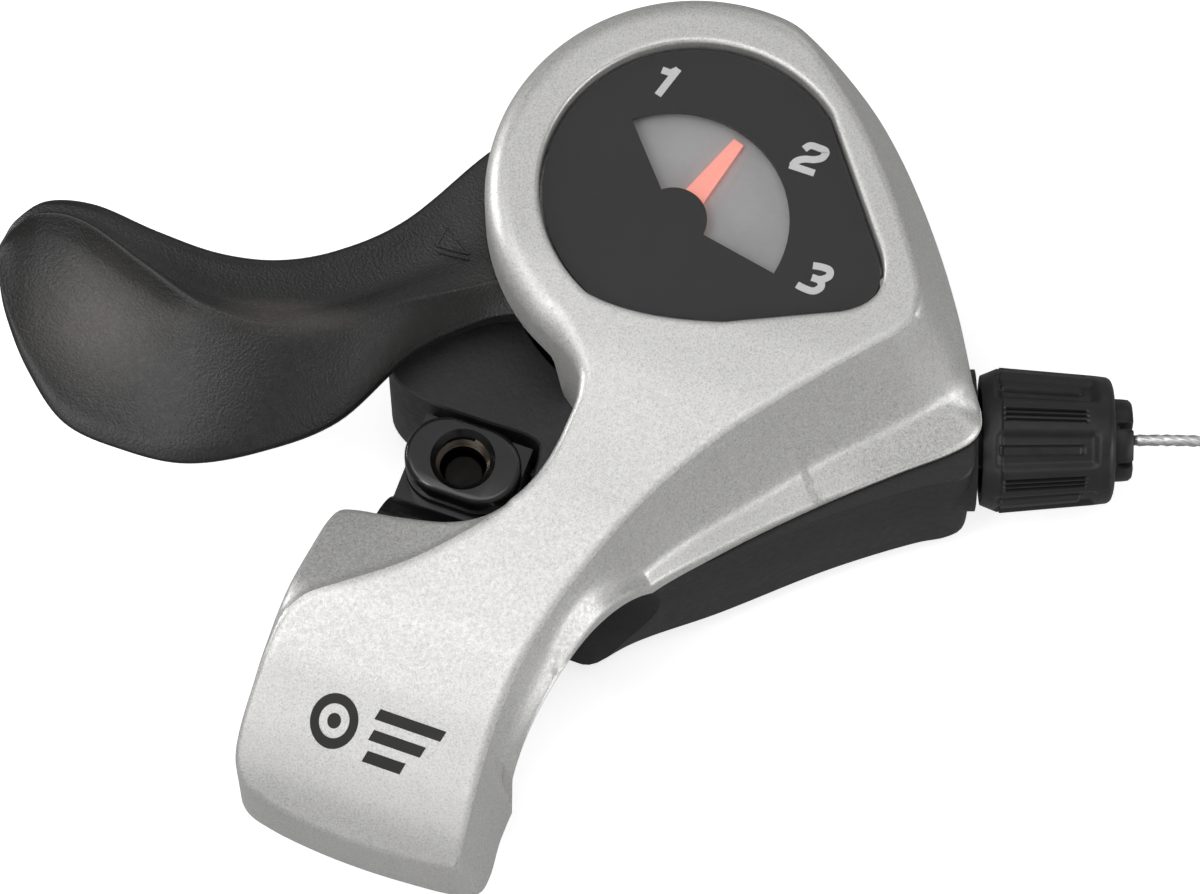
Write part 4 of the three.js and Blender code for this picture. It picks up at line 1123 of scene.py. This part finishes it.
LEVER_ARROW = [(-9.02, 36.79), (-6.04, 34.8), (-9.31, 34.48)]
LEVER_BAR = [(-9.01, 33.94), (-5.83, 34.21)]
corners = LEVER_ARROW + LEVER_ARROW[:1]
strokes = [resampled_open(pair, 0.25) for pair in list(zip(corners, corners[1:])) + [LEVER_BAR]]
ribbon("lever_arrow", strokes, 0.24, lever_skin, -0.1, 0.3, LEVER_PLASTIC, "lever", "lever_plastic")


# ---- cable adjuster -----------------------------------------------------------------------

ACROSS = Vector((-ALONG.y, ALONG.x, 0))
FLUTES = 6
# Distances along the adjuster, and the grip's radius there
GRIP_PROFILE = (0.3, 1.9, 2.2, 11.3, 12.6, 13.0, 13.2), (6.35, 7.0, 7.12, 6.34, 6.18, 5.95, 5.4)
GRIP_START, GRIP_END = 0.3, 13.2
GRIP_BORE = ((13.2, 4.9), (13.05, 4.35), (8.5, 4.3), (8.5, 5.3), (0.3, 5.3))
CASTLE_OUTSIDE = ((9.2, 4.05), (13.3, 4.05), (13.6, 4.05), (14.2, 4.02), (14.75, 3.95), (15.05, 3.7))
CASTLE_BORE = ((15.05, 2.35), (14.7, 2.1), (9.2, 2.1))
SHANK = ((-8.5, 0.9), (-8.5, 2.8), (9.0, 2.8), (9.0, 0.9))
NOTCH_START, NOTCH_DEPTH = 13.75, 0.5


def around_axis(distance, radius, angle):
    """A point on the adjuster, its angle counted from +Z towards the handlebar's rear."""
    return on_axis(distance) + (UP * math.cos(angle) - ACROSS * math.sin(angle)) * radius


def adjuster_radius(distance, angle):
    """The grip's surface: six ribs with twin grooves, and a raised bar in each scallop between them."""
    body = np.interp(distance, *GRIP_PROFILE)
    turn = (angle / (2 * math.pi) * FLUTES) % 1.0
    from_middle = abs(turn - 0.5) * 2
    ends = ramp(distance, 1.3, 2.3) * (1 - ramp(distance, 10.8, 11.8))
    scallop = 0.62 * (1 - ramp(from_middle, 0.34, 0.62)) * ends
    bar = 0.5 * (1 - ramp(from_middle, 0.1, 0.18)) * ramp(distance, 1.8, 2.3) * (1 - ramp(distance, 9.6, 10.3))
    groove = 0.0
    for place in (0.86, 1.0):
        groove += 0.42 * (1 - ramp(abs(from_middle - place), 0.028, 0.05))
    groove *= ramp(distance, 2.2, 2.6) * (1 - ramp(distance, 10.0, 10.6))
    seam = 0.1 * (1 - ramp(abs(distance - 2.05), 0.05, 0.12))
    return body - scallop + bar - groove - seam


def make_grip():
    rows, columns = ((88, 324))
    angles = [2 * math.pi * (k + 0.5) / columns for k in range(columns)]
    stations = [GRIP_START + (GRIP_END - GRIP_START) * i / (rows - 1) for i in range(rows)]
    vertices = [around_axis(d, float(adjuster_radius(d, a)), a) for d in stations for a in angles]
    vertices += [around_axis(d, radius, a) for d, radius in GRIP_BORE for a in angles]
    faces = ring_faces(rows + len(GRIP_BORE), columns, looped=True)
    new_piece("adjuster_grip", vertices, faces, GRIP_PLASTIC, "adjuster", "adjuster_plastic", "adjuster_barrel")


def make_castle():
    """The screw's end, a hollow tube cut into blunt lugs round the casing's seat, and its shank."""
    columns = 144
    lugs = 6
    vertices = []
    for d, radius in CASTLE_OUTSIDE + CASTLE_BORE:
        for k in range(columns):
            turn = abs(((k / columns * lugs) % 1.0) - 0.5) * 2
            notch = ramp(turn, 0.82, 0.9)
            depth = d - (d - NOTCH_START) * notch if d > NOTCH_START else d
            out = radius - (NOTCH_DEPTH * notch if radius > 3 and d > 13.5 else 0)
            vertices.append(around_axis(float(depth), float(out), 2 * math.pi * k / columns))
    rings = len(CASTLE_OUTSIDE) + len(CASTLE_BORE)
    new_piece("adjuster_castle", vertices, ring_faces(rings, columns, looped=True), GRIP_PLASTIC, "adjuster",
              "adjuster_plastic", "adjuster_bolt")
    sides = 48
    shank = [around_axis(d, radius, 2 * math.pi * k / sides) for d, radius in SHANK for k in range(sides)]
    new_piece("adjuster_shank", shank, ring_faces(len(SHANK), sides, looped=True), GRIP_PLASTIC, "adjuster",
              "adjuster_plastic")


make_grip()
make_castle()


# ---- base housing -------------------------------------------------------------------------

BASE_BOTTOM, BASE_TOP, BASE_FLOOR = -10, 6.2, -8
# Height and inset, from bottom to top
BASE_LEVELS = [(BASE_BOTTOM, 1.0), (BASE_BOTTOM + 0.12, 0.55), (BASE_BOTTOM + 0.4, 0.22),
               (BASE_BOTTOM + 0.9, 0.0), (0.0, 0.0), (BASE_TOP - 0.2, 0.0), (BASE_TOP, 0.2)]
POCKET = [(22, 26.5), (31.5, 24.8), (43, 34.4), (40.4, 43.6), (33, 50), (22, 50)]
TONGUE = [(-5.2, 10), (5.2, 10), (5.2, 24), (-5.2, 24)]
SCREWS = ((35.5, 31.5), (34.4, 47.6), (13.4, 22.4))
BAR_ROOM_RADIUS = 12


def prism(name, outline, levels):
    """A closed outline pushed in by each level's inset: levels are (height, inset) from bottom to top."""
    loop = np.array(outline, float)
    normal = inward(loop)
    vertices = [(*p, z) for z, push in levels for p in loop + normal * push]
    obj = mesh_object(name, vertices, ring_faces(len(levels), len(loop)))
    face_outwards(obj, weld=True)
    return obj


def rod_between(name, start, end, radius, sides=64):
    """A plain rod used only to cut or join."""
    start, end = Vector(start), Vector(end)
    axis = (end - start).normalized()
    side = axis.orthogonal().normalized()
    other = axis.cross(side)
    angles = [2 * math.pi * k / sides for k in range(sides)]
    ring = [side * math.cos(a) * radius + other * math.sin(a) * radius for a in angles]
    obj = mesh_object(name, [start + r for r in ring] + [end + r for r in ring], ring_faces(2, sides))
    face_outwards(obj, weld=True)
    return obj


def combine(target, tools, operation):
    for tool in tools:
        modifier = target.modifiers.new("join", "BOOLEAN")
        modifier.operation = operation
        modifier.solver = "EXACT"
        modifier.object = tool
    apply_modifiers(target)
    face_outwards(target, weld=True)
    for tool in tools:
        bpy.data.objects.remove(tool)


def base_outline():
    left = [(-4.2, 37.0), (-6.6, 34.6), (-9.3, 32.8), (-11.0, 30.2), (-11.3, 27.0), (-10.6, 24.0), (-8.6, 22.3),
            (-5.6, 21.6), (0, 21.5), (5.2, 21.5), (6.2, 21.0), (6.5, 19.6), (6.5, 8), (6.5, 4.4), (7.2, 3.4)]
    rear = [(13.2, 3.4), (14.8, 4.0), (19.6, 9.9), (26.6, 15.9), (35.5, 24.1), (42.6, 29.6), (44.9, 31.0),
            (46.1, 32.3)]
    tip = [(46.2, 33.8), (45.2, 36.8), (42.9, 40.9), (39.9, 45.2), (38.6, 46.7)]
    arc = [polar(19.9, 46 + 158 * i / 50, PIVOT) for i in range(51)]
    points = arc + left[1:] + rear + tip
    return smooth_line(points, 0.6, closed=True)[:, :2]


def make_base():
    base = prism("base_shell", base_outline(), BASE_LEVELS)
    pocket = prism("pocket", resampled(POCKET, 50), [(BASE_FLOOR, 0), (BASE_TOP + 1, 0)])
    collar = rod_between("collar", on_axis(-10), on_axis(-0.3), 5.4)
    flange = rod_between("flange", on_axis(-2.6), on_axis(-0.25), 6.95, 96)
    tongue = prism("tongue", resampled(TONGUE, 50), [(-2.6, 0), (2.6, 0)])
    px, py = PIVOT
    combine(base, [pocket], "DIFFERENCE")
    combine(base, [collar, flange, tongue], "UNION")
    cutters = [
        rod_between("drum_room", (px, py, BASE_FLOOR), (px, py, BASE_TOP + 3), 18.8, 128),
        rod_between("bar_room", (-60, 0, 0), (60, 0, 0), BAR_ROOM_RADIUS, 128),
        rod_between("axle_hole", (px, py, BASE_BOTTOM - 2), (px, py, 0), 4.3),
        rod_between("axle_seat", (px, py, BASE_BOTTOM - 2), (px, py, BASE_BOTTOM + 1.2), 5.4),
        rod_between("bolt_hole", (0, 16.5, -12), (0, 16.5, 12), 3.2),
        rod_between("wire_hole", on_axis(-28), on_axis(2), 1.5, 32),
        rod_between("screw_hole", on_axis(-9.2), on_axis(2), 3.3),
    ]
    for x, y in SCREWS:
        cutters.append(rod_between("screw", (x, y, BASE_BOTTOM - 2), (x, y, BASE_TOP + 2), 1.5, 24))
        cutters.append(rod_between("screw_seat", (x, y, BASE_BOTTOM - 2), (x, y, BASE_BOTTOM + 1.6), 2.4, 32))
    combine(base, cutters, "DIFFERENCE")
    dress(base, BASE_PLASTIC, "housing", "black_plastic", 32, "base_housing")


# ---- clamp --------------------------------------------------------------------------------

NUT_CENTRE = (0, 16.5)
NUT_END_RADIUS, NUT_END_OFFSET = 3.95, 1.8
NUT_HOLE_RADIUS = 2.62
NUT_LEVELS = [(4.8, 0.25), (5.05, 0.0), (7.45, 0.0), (7.75, 0.1), (7.95, 0.34), (8.0, 0.6)]


def nut_outline():
    ends = []
    for side, start in ((1, -90), (-1, 90)):
        centre = (side * NUT_END_OFFSET, NUT_CENTRE[1])
        ends += [polar(NUT_END_RADIUS, start + 180 * i / 24, centre) for i in range(25)]
    return resampled(ends, 0.4)


def make_nut():
    nut = prism("clamp_nut_body", nut_outline(), NUT_LEVELS)
    combine(nut, [rod_between("hole", (*NUT_CENTRE, 4), (*NUT_CENTRE, 9), NUT_HOLE_RADIUS)], "DIFFERENCE")
    lip = lathe("lip", [(2.0, 7.3), (NUT_HOLE_RADIUS, 7.3), (3.3, 8.2), (2.0, 8.2)], NUT_CENTRE, 64)
    combine(nut, [lip], "DIFFERENCE")
    dress(nut, ENAMEL, "housing", "black_steel", 35, "clamp_nut")


def make_thread():
    """The nut's thread: one ridge wound up the inside of the hole."""
    pitch, low, high, steps = 0.8, 4.95, 7.25, 48
    turns = (high - low - 0.5) / pitch
    count = int(turns * steps)
    vertices = []
    for i in range(count + 1):
        angle = 360 * i / steps
        z = low + 0.25 + pitch * i / steps
        for radius, rise in ((2.66, -0.3), (2.3, -0.05), (2.3, 0.05), (2.66, 0.3)):
            vertices.append((*polar(radius, angle, NUT_CENTRE), z + rise))
    thread = mesh_object("clamp_nut_thread", vertices, ring_faces(count + 1, 4))
    face_outwards(thread, weld=True)
    dress(thread, THREAD, "housing", "black_steel", 30)


make_base()
make_nut()
make_thread()

# ---- finishes of the CAD nodes that stay ----------------------------------------------------

paint(wire, WIRE)
repaint(STEEL, "cover_screw_1", "cover_screw_2", "cover_screw_3", "bolt_washer", "pivot_axle",
        "thrust_washer", "spring_washer", "lock_nut", "detent_plate", "detent_ball", "detent_spring",
        "cable_nipple", "adjuster_spring", "adjuster_washer", "cable_end_cap", "inner_wire", "wound_wire")
repaint(BRASS, "hub_bush")
repaint(NYLON, "ring_gear", "indicator_pinion")
repaint(HUB_PLASTIC, "cable_drum", "coil_tie")
repaint(DIAL_GREY, "dial_backplate")
repaint(DIAL_BLACK, "dial_face")
repaint(NEEDLE_RED, "indicator_needle")
repaint(WINDOW, "dial_lens")
repaint(ENAMEL, "clamp_band")
repaint(BLACKED, "clamp_bolt")
